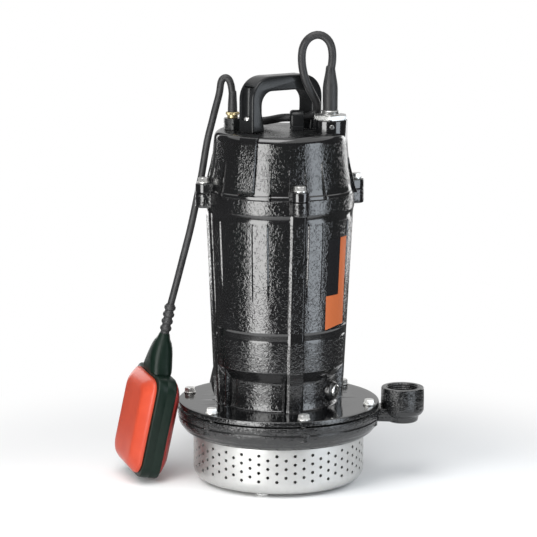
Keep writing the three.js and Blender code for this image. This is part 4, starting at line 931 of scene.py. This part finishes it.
sheet_can = worked("sheet_can", (0.55, 0.57, 0.60), (0.65, 0.67, 0.70), 0.012, (0.25, 0.4, 0.006),
                   (0.0004, 0.00001), Metallic=1.0)
black_rubber = worked("black_rubber", (0.016, 0.016, 0.017), (0.030, 0.030, 0.031), 0.012,
                      (0.42, 0.58, 0.006), (0.0005, 0.00003), Specular_IOR_Level=0.5)


def dress(material, *names):
    """Frame nodes keep their shapes and get a finish."""
    for name in names:
        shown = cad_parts[name].data
        shown.materials.clear()
        shown.materials.append(material)
        shown.shade_smooth()
        shown.set_sharp_from_angle(angle=math.radians(35.0))


dress(raw_iron, "suction_cover", "oil_chamber_cover", "bearing_bracket")
dress(black_rubber, "casing_gasket", "cover_seal_ring")
dress(seal_ceramic, "seal_stationary_ring", "seal_rotating_head")
dress(ground_steel, "shaft", "rotor_core", "lower_bearing", "upper_bearing", "stator_core")
dress(cast_brass, "impeller")
dress(cut_stainless, "impeller_nut")
dress(lacquered_copper, "winding_lower", "winding_upper")
dress(sheet_can, "capacitor")


# ---- Handle -------------------------------------------------------------------------------
# A moulded black D handle across the cover. Its two ends have an open channel with the fixing
# screw at the bottom, and the grip is smooth and rounded.

HANDLE_TURN = -54.0
HANDLE_FOOT = 372.8
HANDLE_HALF = 45.0
HANDLE_WIDTH = 25.0
HANDLE_HEIGHT = 57.4
HANDLE_LEG = 13.0
HANDLE_BAR = 15.5
HANDLE_CORNER = 24.0
HANDLE_EDGE = 2.6
WINDOW_CORNER = 14.0
GRIP_WAIST = 0.24  # how much slimmer the grip is in its middle
FOOT_FLARE = 3.2
SCREW_REACH = 41.5
CHANNEL_HALF = 6.6
CHANNEL_FOOT = 12.5

moulded_black = worked(
    "moulded_black", (0.012, 0.0125, 0.013), (0.019, 0.020, 0.021), 0.03, (0.15, 0.24, 0.01),
    (0.0006, 0.00002), Specular_IOR_Level=0.28)

half, top, corner = HANDLE_HALF, HANDLE_HEIGHT, HANDLE_CORNER
outer = [(half, 0.0), (half, 8.0), (half, 16.0), (half, top - corner)] + arc(
    (half - corner, top - corner), corner, 6, 84, 13) + [(21.0, top), (10.0, top), (0.0, top)]
inner, roof, corner = half - HANDLE_LEG, top - HANDLE_BAR, WINDOW_CORNER
window = [(-inner, z) for z in np.arange(0.0, 25.0, 4.0)] + [(-inner, roof - corner)] + arc(
    (corner - inner, roof - corner), corner, 170, 90, 8)
outline = outer + [(-x, z) for x, z in outer[-2::-1]] + window + [(-x, z) for x, z in window[::-1]]
turns = np.radians(np.linspace(0, 90, 6))
insets = HANDLE_EDGE * (1 - np.sin(turns))
depths = HANDLE_EDGE * (1 - np.cos(turns)) - HANDLE_WIDTH / 2
grip, faces = moved(raised(outline, [*depths, *-depths[::-1]], [*insets, *insets[::-1]]), LAID_DOWN)
grip[:, 2] = np.maximum(grip[:, 2], 0.0)
# The grip is slimmer in the middle, and the feet flare inwards.
grip[:, 1] *= 1.0 - GRIP_WAIST * ease(grip[:, 2], 30.0, 50.0) * (1.0 - ease(np.abs(grip[:, 0]), 10.0, 40.0))
flare = FOOT_FLARE * (1.0 - ease(grip[:, 2], 0.0, 22.0)) * (np.abs(grip[:, 0]) < 38.0)
grip[:, 0] -= np.sign(grip[:, 0]) * flare


def on_handle(shape):
    return moved(shape, spin(HANDLE_TURN - 90.0), (0.0, 0.0, HANDLE_FOOT))


handle = put_up("handle_grip", on_handle((grip, faces)), "pump", moulded_black)
channel = [(CHANNEL_HALF, 52.0), (-CHANNEL_HALF, 52.0)] + arc(
    (0.0, SCREW_REACH + 1.5), CHANNEL_HALF, 180, 360, 15)
cutter = raised(channel[::-1], (CHANNEL_FOOT, CHANNEL_FOOT + 0.6, 41.0, 45.0, 47.6),
                (0.4, 0.0, 0.0, 0.8, 3.4))
screw = eased([(0, 12.6), (4.0, 12.6), (4.2, 14.4, 0.6), (2.9, 15.6, 0.5), (0, 15.8)])
cross = raised([(-2.2, -0.45), (2.2, -0.45), (2.2, 0.45), (-2.2, 0.45)], (14.6, 17.0), (0.0, 0.0))
for i, side in enumerate((1, -1)):
    merge(handle, on_handle(moved(cutter, spin(-90.0 * side))), "DIFFERENCE")
    place = (SCREW_REACH * side, 0.0, 0.0)
    head = put_up(f"handle_screw_head_{i + 1}", on_handle(turned(screw, 36, place)),
                  "pump", plated_steel)
    for quarter in (0.0, 90.0):
        merge(head, on_handle(moved(cross, spin(quarter), place)), "DIFFERENCE")
    finished(head, 30.0, f"handle_screw_{i + 1}")
finished(handle, 30.0, "handle")


# ---- Cord gland, its lock screw and the bend relief ---------------------------------------
# A polished hexagon nut with a domed collar presses a rubber bush into the boss. A small
# screw locks it from the front, and a moulded sleeve keeps the cord from kinking.

GLAND_FLATS = 33.0
LOCK_SCREW_TURN = 5.0
LOCK_SCREW_LEVEL = 378.75

polished_chrome = worked(
    "polished_chrome", (0.44, 0.44, 0.43), (0.54, 0.54, 0.53), 0.008, (0.22, 0.34, 0.003),
    (0.0004, 0.00001), Metallic=0.9)

corner = GLAND_FLATS / math.sqrt(3)
nut = [(7.9, 385.3), (corner * 0.93, 385.3), (corner, 386.1), (corner, 387.1), (corner * 0.975, 387.35),
       (corner * 0.975, 387.6), (corner, 387.85), (corner, 388.9), (corner * 0.95, 389.7),
       (corner * 0.86, 390.0), (11.0, 390.3), (9.9, 391.0), (9.6, 392.2), (9.1, 393.6), (8.3, 394.4),
       (7.9, 394.4)]
gland = put_up("gland_hexagon", hexed(turned(nut, 72, GLAND_PLACE), GLAND_FLATS, GLAND_PLACE), "pump",
               polished_chrome, 24.0)
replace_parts(gland, "gland_nut")
sleeve = eased([(0, 385.3), (7.8, 385.3), (7.85, 398.0), (7.9, 417.0, 3.0), (7.3, 423.0, 3.0),
                (5.3, 434.0, 4.0), (4.6, 440.5, 2.0), (0, 441.0)], 5)
relief = put_up("gland_sleeve", turned(sleeve, 48, GLAND_PLACE), "pump", black_rubber)
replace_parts(relief, "cord_boot")
lock = eased([(0, 18.25), (2.4, 18.25), (2.5, 19.3, 0.3), (2.1, 19.7, 0.2), (1.2, 19.8), (1.1, 19.0),
              (0, 19.0)])
lock = moved(spoke(lock, 30, LOCK_SCREW_TURN, LOCK_SCREW_LEVEL), offset=(*GLAND_PLACE, 0.0))
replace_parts(put_up("gland_screw", lock, "pump", polished_chrome, 24.0), "gland_lock_screw")


# ---- Cord clamp ---------------------------------------------------------------------------
# A moulded saddle screwed to the cover holds the cord where it turns to the back.

CLAMP_PLACE = (16.0, 3.5)
CLAMP_FOOT = 372.8
CLAMP_BORE = 385.0
ALONG_X = ((0, 0, 1), (1, 0, 0), (0, 1, 0))  # what stood up now points along +X

saddle = [(-8.2, CLAMP_FOOT), (8.2, CLAMP_FOOT), (8.2, 376.4), (7.0, 377.0)] + arc(
    (0.0, 386.2), 7.0, 0, 180, 15) + [(-7.0, 377.0), (-8.2, 376.4)]
points, faces = raised(saddle, (-6.6, -6.2, -5.2, -3.6, 6.6, 7.8, 8.4), (2.6, 1.5, 0.5, 0.0, 0.0, 0.4, 1.3))
points[:, 1] = np.maximum(points[:, 1], CLAMP_FOOT)
clamp = put_up("cord_saddle", moved((points, faces), ALONG_X, (*CLAMP_PLACE, 0.0)),
               "pump", moulded_black)
bore = turned([(0, -9.0), (5.0, -9.0), (5.0, 9.0), (0, 9.0)], 32)
merge(clamp, moved(bore, ALONG_X, (*CLAMP_PLACE, CLAMP_BORE)), "DIFFERENCE")
finished(clamp, 30.0, "cord_clamp")


# ---- Float switch gland -------------------------------------------------------------------
# A black hexagon body in the cover with a small knurled brass compression nut, and a tapered
# rubber boot where the tether comes out of it.

FLOAT_GLAND = (-50.0, 0.0)
FLOAT_GLAND_FLATS = 17.0
KNURLS = 36

turned_brass = worked(
    "turned_brass", (0.50, 0.41, 0.22), (0.60, 0.51, 0.31), 0.004, (0.32, 0.46, 0.003),
    (0.0003, 0.00001), Metallic=0.85)
corner = FLOAT_GLAND_FLATS / math.sqrt(3)
body = [(4.8, 372.8), (corner, 372.8), (corner, 377.4), (corner * 0.9, 378.0), (corner * 0.9, 378.8),
        (corner, 379.4), (corner, 383.8), (corner * 0.92, 384.7), (4.8, 384.7)]
shape = hexed(turned(body, 72, FLOAT_GLAND), FLOAT_GLAND_FLATS, FLOAT_GLAND, 8.0)
base = put_up("float_gland_body", shape, "pump", moulded_black, 24.0)
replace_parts(base, "float_gland_base")
nut = eased([(5.1, 385.0), (5.6, 385.0, 0.3), (5.6, 388.1), (6.7, 388.3, 0.3), (6.9, 389.0, 0.3),
             (6.9, 390.7, 0.5), (6.2, 391.2, 0.3), (5.1, 391.2)])
points, faces = turned(nut, 72, FLOAT_GLAND)
rel = points[:, :2] - np.array(FLOAT_GLAND)
upper = np.hypot(rel[:, 0], rel[:, 1]) > 6.3
ridge = 1.0 + 0.018 * np.cos(np.arctan2(rel[:, 1], rel[:, 0]) * KNURLS) * upper
points[:, :2] = rel * ridge[:, None] + np.array(FLOAT_GLAND)
brass = put_up("float_gland_brass", (points, faces), "pump", turned_brass, 24.0)
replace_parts(brass, "float_gland_nut")
boot = eased([(0, 388.0), (4.9, 388.0), (5.0, 393.0, 1.0), (4.85, 399.0, 1.5), (4.2, 410.0, 2.0),
              (3.9, 413.0, 0.3), (0, 413.0)])
put_up("float_gland_boot", turned(boot, 36, FLOAT_GLAND), "pump", black_rubber)


# ---- Float: rim, neck, shells and grommet -------------------------------------------------
# Two red shells welded to a dark moulded rim whose neck takes the tether in a ribbed grommet.
# A steel ball rolls inside it against the switch.

FLOAT_TOP = np.array([-114.6, 0.0, 186.0])
FLOAT_TILT = 11.5
FLOAT_TURN = -70.0
RIM_WIDTH = 83.0
RIM_LENGTH = 109.5
RIM_CORNER = 14.0
RIM_FRONT, RIM_BACK = 8.75, 11.95  # how far the rim reaches from the middle of the float
RIM_MIDDLE = -126.55
SHELL_FACE = 21.5
FAR_SHELL_SHARE = 0.743  # depth of the far shell as a share of the near one's

float_red = worked(
    "float_red", (0.43, 0.046, 0.019), (0.48, 0.058, 0.025), 0.02, (0.31, 0.36, 0.03),
    (0.0010, 0.000003), Specular_IOR_Level=0.38)
# The far shell: the same red plastic as the near one, darkened as painted shade for the side turned away from the
# lamps.
float_red_painted_shade = worked(
    "float_red_painted_shade", (0.30, 0.026, 0.022), (0.34, 0.034, 0.028), 0.02, (0.31, 0.36, 0.03),
    (0.0010, 0.000003), Specular_IOR_Level=0.38)
rim_dark = worked(
    "rim_dark", (0.003, 0.0095, 0.006), (0.006, 0.014, 0.010), 0.02, (0.30, 0.42, 0.01),
    (0.0010, 0.00001), Specular_IOR_Level=0.2)

hang = np.array(Matrix.Rotation(math.radians(FLOAT_TILT), 3, "Y")) @ spin(FLOAT_TURN)


def on_float(shape):
    """From the float's own frame (broad face along -Y, up the tether +Z) to where it hangs."""
    return moved(shape, hang, FLOAT_TOP)


def rounded_box(width, length, corner, steps=8):
    """A rounded rectangle as a loop of points, equally many for any size."""
    w, h = width / 2 - corner, length / 2 - corner
    return [point for x, z, start in ((w, h, 0), (-w, h, 90), (-w, -h, 180), (w, -h, 270))
            for point in arc((x, z), corner, start, start + 90, steps)]


def stacked(loops):
    """A solid of the float through loops of [x, z] points at depths y."""
    return on_float(lofted([[(x, y, z + RIM_MIDDLE) for x, z in loop] for loop, y in loops]))


# The rim: a band with rounded edges and a shallow weld groove round its middle.
edge = ((0.0, -1.6), (0.35, -0.7), (1.15, -0.15), (2.15, 0.0))
steps = [(inward - RIM_FRONT, grow) for inward, grow in edge] + [
    (0.6, 0.0), (1.1, -0.25), (2.1, -0.25), (2.6, 0.0)] + [
    (RIM_BACK - inward, grow) for inward, grow in edge[::-1]]
rim = put_up("float_band", stacked([
    (rounded_box(RIM_WIDTH + 2 * grow, RIM_LENGTH + 2 * grow, RIM_CORNER + grow), y) for y, grow in steps]),
    "float", rim_dark)
opening = rounded_box(69.0, 95.5, 10.5)
merge(rim, stacked([(opening, -12.0), (opening, 15.0)]), "DIFFERENCE")
# height, width, depth and corner of the neck's section, down from the grommet
NECK = ((-30.3, 9.9, 9.9, 4.4), (-31.2, 11.0, 11.0, 5.0), (-36.0, 15.0, 13.6, 6.4),
        (-39.3, 19.4, 17.4, 7.8), (-44.0, 23.0, 20.6, 8.8), (-50.3, 26.4, 22.9, 9.4),
        (-57.0, 30.5, 24.0, 9.4), (-64.0, 36.5, 24.2, 9.0), (-69.0, 40.0, 23.8, 8.6),
        (-71.6, 41.0, 22.4, 8.0), (-72.6, 41.0, 18.0, 6.8), (-76.5, 39.0, 15.8, 6.0))
merge(rim, on_float(lofted([[(x, y, z) for x, y in rounded_box(width, depth, corner, 6)]
                            for z, width, depth, corner in NECK])))
finished(rim, 30.0, "float_rim")

# The shells: from the floor of the hollow round the foot, then a short wall and a wide bevel
# up to a flat face with soft edges. The far one is shallower, as the rim is thicker there, and its
# red is darkened as painted shade.
# depth, width, length and corner of each loop
SHELL = ((18.5, 40.0, 68.0, 7.0), (18.5, 52.0, 80.0, 9.0), (12.0, 70.0, 96.5, 11.0), (9.05, 73.0, 99.5, 13.0),
         (9.05, 75.4, 101.9, 13.8), (9.5, 76.0, 102.5, 14.0), (11.0, 76.0, 102.5, 14.2),
         (12.2, 75.3, 101.9, 14.4), (13.3, 73.8, 100.5, 14.6), (14.6, 71.4, 98.3, 14.6),
         (17.2, 66.0, 93.3, 14.2), (19.2, 61.6, 89.1, 13.6), (20.2, 58.8, 86.4, 13.0),
         (20.9, 55.8, 83.6, 12.2), (21.3, 52.6, 80.6, 11.2), (21.5, 48.6, 76.8, 10.0),
         (21.5, 40.0, 68.0, 7.0))
for name, side, share, node, shell_red in (
        ("float_shell_near", -1, 1.0, "float_front_shell", float_red),
        ("float_shell_far", 1, FAR_SHELL_SHARE, "float_back_shell", float_red_painted_shade)):
    shell = stacked([
        (rounded_box(width, length, corner, 6), side * (SHELL_FACE - share * (SHELL_FACE - depth)))
        for depth, width, length, corner in SHELL])
    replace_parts(put_up(name, shell, "float", shell_red), node)

# The grommet: four soft ribs round the tether.
GROMMET_RIB_STEP = 7.5
ribs = [(0, 1.5), (4.4, 1.5, 0.35), (4.7, 0.6, 0.35)]
for i in range(4):
    ribs += [(r, z - GROMMET_RIB_STEP * i, 0.35) for r, z in (
        (5.2, -0.2), (6.05, -1.0), (6.05, -3.2), (5.6, -4.2), (4.6, -5.2), (4.6, -6.6))]
ribs += [(4.9, -30.0, 0.35), (4.9, -30.2, 0.35), (0, -30.2)]
grommet = put_up("float_grommet_ribs", on_float(turned(eased(ribs, 2), 36)), "float",
                 black_rubber)
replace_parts(grommet, "float_grommet")
dress(ground_steel, "float_ball")
dress(moulded_black, "float_switch")


# ---- Power cord ---------------------------------------------------------------------------
# Four and a half metres of round rubber cord. It loops out of the gland, back down through the
# clamp, goes down the back of the housing and lies behind the pump as a tied coil with its plug.

CORD_DIAMETER = 8.5
COIL_CENTRE = (0.0, 200.0)
COIL_RADIUS = 51.0  # at the middle of its turns
COIL_ACROSS = [COIL_RADIUS + CORD_DIAMETER * k for k in (1.5, 0.5, -0.5, -1.5)]
COIL_TURNS = [(radius, CORD_DIAMETER * (layer + 0.5)) for layer, order in enumerate((1, -1, 1))
              for radius in COIL_ACROSS[::order]]
COIL_START = 110.0  # where the first turn is on its circle, counted anticlockwise from +X
JOG_START, JOG_WIDTH = 300.0, 56.0  # each turn steps aside here, counted along the turn
COIL_STEP = 6.0

POWER_ROUTE = [
    (51, -8, 427.6), (51, -8, 434), (52.6, -8, 443), (53, -7.8, 451), (51.2, -7.4, 462.5), (45.4, -7, 470.2),
    (37, -6.6, 472.6), (28.3, -6.2, 468.8), (22.6, -5.9, 460), (21.2, -5.6, 448), (22.4, -5.2, 436),
    (25.8, -4.2, 424), (31.0, -1.2, 413), (35.0, 2.6, 405.5), (38.2, 7.6, 398.2), (38.2, 11.6, 392.0),
    (34.6, 12.4, 387.4), (29.2, 9.8, 385.4), (23, 5.2, 385), (16, 3.5, 385), (9, 3.5, 385), (2.6, 5, 384.8),
    (-7, 12.4, 382), (-18.4, 25, 378.6), (-30.8, 39.4, 377.6), (-35.7, 45.7, 377.6), (-41, 52.5, 376.4),
    (-45.5, 58, 372.8), (-49.6, 63.2, 366), (-52.4, 66.9, 357.3), (-53.2, 68, 346), (-52.4, 67, 300),
    (-52.4, 67, 260), (-52.8, 67.6, 220), (-54.4, 69.6, 180), (-58.5, 75, 145), (-64.5, 83.5, 113), (-70, 91.5, 88),
    (-74, 98.5, 64), (-77.5, 106, 38), (-79.5, 116, 17), (-80, 130, 6.8), (-79.2, 146, 4.7), (-77, 165, 4.6),
    (-74.4, 184, 4.6), (-72.7, 203, 4.6)]
TAIL_ROUTE = [(47.3, 180.9, 30.05), (36.7, 164.6, 31.3), (21.5, 153.6, 35.0), (9.0, 149.0, 37.8),
              (2.0, 149.0, 37.8)]


def through(points, step, rounds):
    """A smooth centripetal curve through points, as points a step apart, evened in rounds."""
    knots = np.asarray(points, float)
    ends = np.concatenate([[2 * knots[0] - knots[1]], knots, [2 * knots[-1] - knots[-2]]])
    dense = []
    for k in range(1, len(ends) - 2):
        p = ends[k - 1:k + 3]
        t = np.concatenate([[0.0], np.cumsum(np.sqrt(np.linalg.norm(np.diff(p, axis=0), axis=1)))])
        for u in np.linspace(t[1], t[2], 24, endpoint=False):
            a = [((t[i + 1] - u) * p[i] + (u - t[i]) * p[i + 1]) / (t[i + 1] - t[i]) for i in range(3)]
            b = [((t[i + 2] - u) * a[i] + (u - t[i]) * a[i + 1]) / (t[i + 2] - t[i]) for i in range(2)]
            dense.append(((t[2] - u) * b[0] + (u - t[1]) * b[1]) / (t[2] - t[1]))
    dense = np.array(dense + [knots[-1]])
    run = np.concatenate([[0.0], np.cumsum(np.linalg.norm(np.diff(dense, axis=0), axis=1))])
    marks = np.linspace(0.0, run[-1], max(2, int(round(run[-1] / step)) + 1))
    line = np.stack([np.interp(marks, run, dense[:, i]) for i in range(3)], 1)
    for _ in range(rounds):
        line[1:-1] = 0.5 * line[1:-1] + 0.25 * (line[:-2] + line[2:])
    return line, float(np.linalg.norm(np.diff(line, axis=0), axis=1).sum()) * MM


def on_coil(radius, degrees, level):
    return (*arc(COIL_CENTRE, radius, degrees, degrees, 0)[0], level)


def coil_points():
    """The turns of the coil, inwards on the floor, outwards on those, inwards on top."""
    out = []
    last = 360.0 * (len(COIL_TURNS) - 2) + JOG_START + JOG_WIDTH
    finish = last + (COIL_START - last - 60.0) % 360.0
    for along in np.arange(0.0, finish, COIL_STEP):
        radius, level = COIL_TURNS[0]
        for k, (here, after) in enumerate(zip(COIL_TURNS, COIL_TURNS[1:])):
            share = (along - JOG_START - 360.0 * k) / JOG_WIDTH
            done = float(ease(share, 0.0, 1.0))
            radius += done * (after[0] - here[0])
            level += done * (after[1] - here[1])
            if 0 < share < 1 and after[1] != here[1]:
                # A turn that climbs to the next layer goes a little wide of the stack.
                wide = math.copysign(0.4 * CORD_DIAMETER, here[0] - COIL_RADIUS)
                radius += wide * math.sin(math.pi * share)
        out.append(on_coil(radius, COIL_START - along, level))
    # Over the neighbouring turn and on top of the coil.
    for share in np.linspace(0.0, 1.0, 10):
        over = math.radians(90.0 * float(ease(share, 0.0, 0.72)))
        radius = COIL_ACROSS[2] - CORD_DIAMETER * math.cos(over)
        radius += CORD_DIAMETER / 2 * float(ease(share, 0.55, 1.0))
        level = COIL_TURNS[-1][1] + 8.6 * math.sin(over) + 0.2 * share
        out.append(on_coil(radius, COIL_START - finish - 58.0 * share, level))
    return out


power_line, power_length = through(POWER_ROUTE + coil_points() + TAIL_ROUTE, 3.2, 3)
data = bpy.data.curves.new("power_cord_line", "CURVE")
data.dimensions = "3D"
data.bevel_depth = CORD_DIAMETER / 2 * MM
data.bevel_resolution = 5
data.use_fill_caps = True
spline = data.splines.new("POLY")
spline.points.add(len(power_line) - 1)
for point, place in zip(spline.points, power_line * MM):
    point.co = (*place, 1.0)
spline.use_smooth = True
data.materials.append(black_rubber)
cord = bpy.data.objects.new("power_cord_line", data)
bpy.context.scene.collection.objects.link(cord)
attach(cord, "pump")
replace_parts(cord, "power_cord", "cord_coil", "cord_tail")

# Two short ties hold the coil together.
TIE_SECTION = (37.2, 28.2, 5.5)  # width, height and corner round the turns
TIE_THICKNESS = 1.1
TIE_HALF = 4.0
width, height, corner = TIE_SECTION
for i, azimuth in enumerate((62.0, 205.0)):
    rings = [[(COIL_RADIUS + x, along, z + height / 2) for x, z in
              rounded_box(width - 2 * inset, height - 2 * inset, corner - inset, 5)]
             for inset, along in ((0.0, TIE_HALF), (TIE_THICKNESS, TIE_HALF), (TIE_THICKNESS, -TIE_HALF),
                                  (0.0, -TIE_HALF))]
    tie = moved(lofted(rings, "looped"), spin(azimuth), (*COIL_CENTRE, 0.0))
    put_up(f"coil_tie_{i + 1}", tie, "pump", moulded_black)

dress(black_rubber, "plug_body")
dress(turned_brass, "plug_blade_1", "plug_blade_2", "plug_ground_pin")


# ---- Float tether -------------------------------------------------------------------------
# The float hangs on its own lead. It rises out of a tapered boot, bends over and runs down to
# the grommet. It is one piece across the swing joint.

TETHER_DIAMETER = 7.5
TETHER_SIDES = 16
TETHER_RISE = [(-50, 0, 391.0), (-50, 0, 398.0), (-50.2, 0, 407.2), (-51, 0, 416.2), (-52.4, 0, 422.3),
               (-54.6, 0, 426.6), (-57.6, 0, 427.6), (-61.4, 0, 424.7)]
SWING = (-59.4, 422.0)
# Shares of the way out and down from the swing's axis to the float
TETHER_FALL = ((0.072, 0.044), (0.145, 0.11), (0.217, 0.178), (0.301, 0.258), (0.409, 0.411), (0.509, 0.53),
               (0.62, 0.653), (0.761, 0.784), (0.891, 0.903), (1.0, 1.0))

route = TETHER_RISE + [
    (SWING[0] + out * (FLOAT_TOP[0] - SWING[0]), 0.0, SWING[1] - down * (SWING[1] - FLOAT_TOP[2]))
    for out, down in TETHER_FALL]
tether_line, tether_length = through(route, 1.5, 8)
# The tether lies in the plane y = 0, so its sections stand across that plane.
ahead = np.gradient(tether_line, axis=0)
ahead /= np.linalg.norm(ahead, axis=1)[:, None]
side = np.array([0.0, 1.0, 0.0])
ring = arc((0.0, 0.0), TETHER_DIAMETER / 2, 0, 360.0 - 360.0 / TETHER_SIDES, TETHER_SIDES - 1)
rings = [[middle + side * a + np.cross(along, side) * b for a, b in ring]
         for middle, along in zip(tether_line, ahead)]
tether = put_up("float_tether", lofted(rings), None, black_rubber)
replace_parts(tether, "float_boot", "float_cord")
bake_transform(tether)


# ---- What the part measures ----------------------------------------------------------------
low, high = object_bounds()
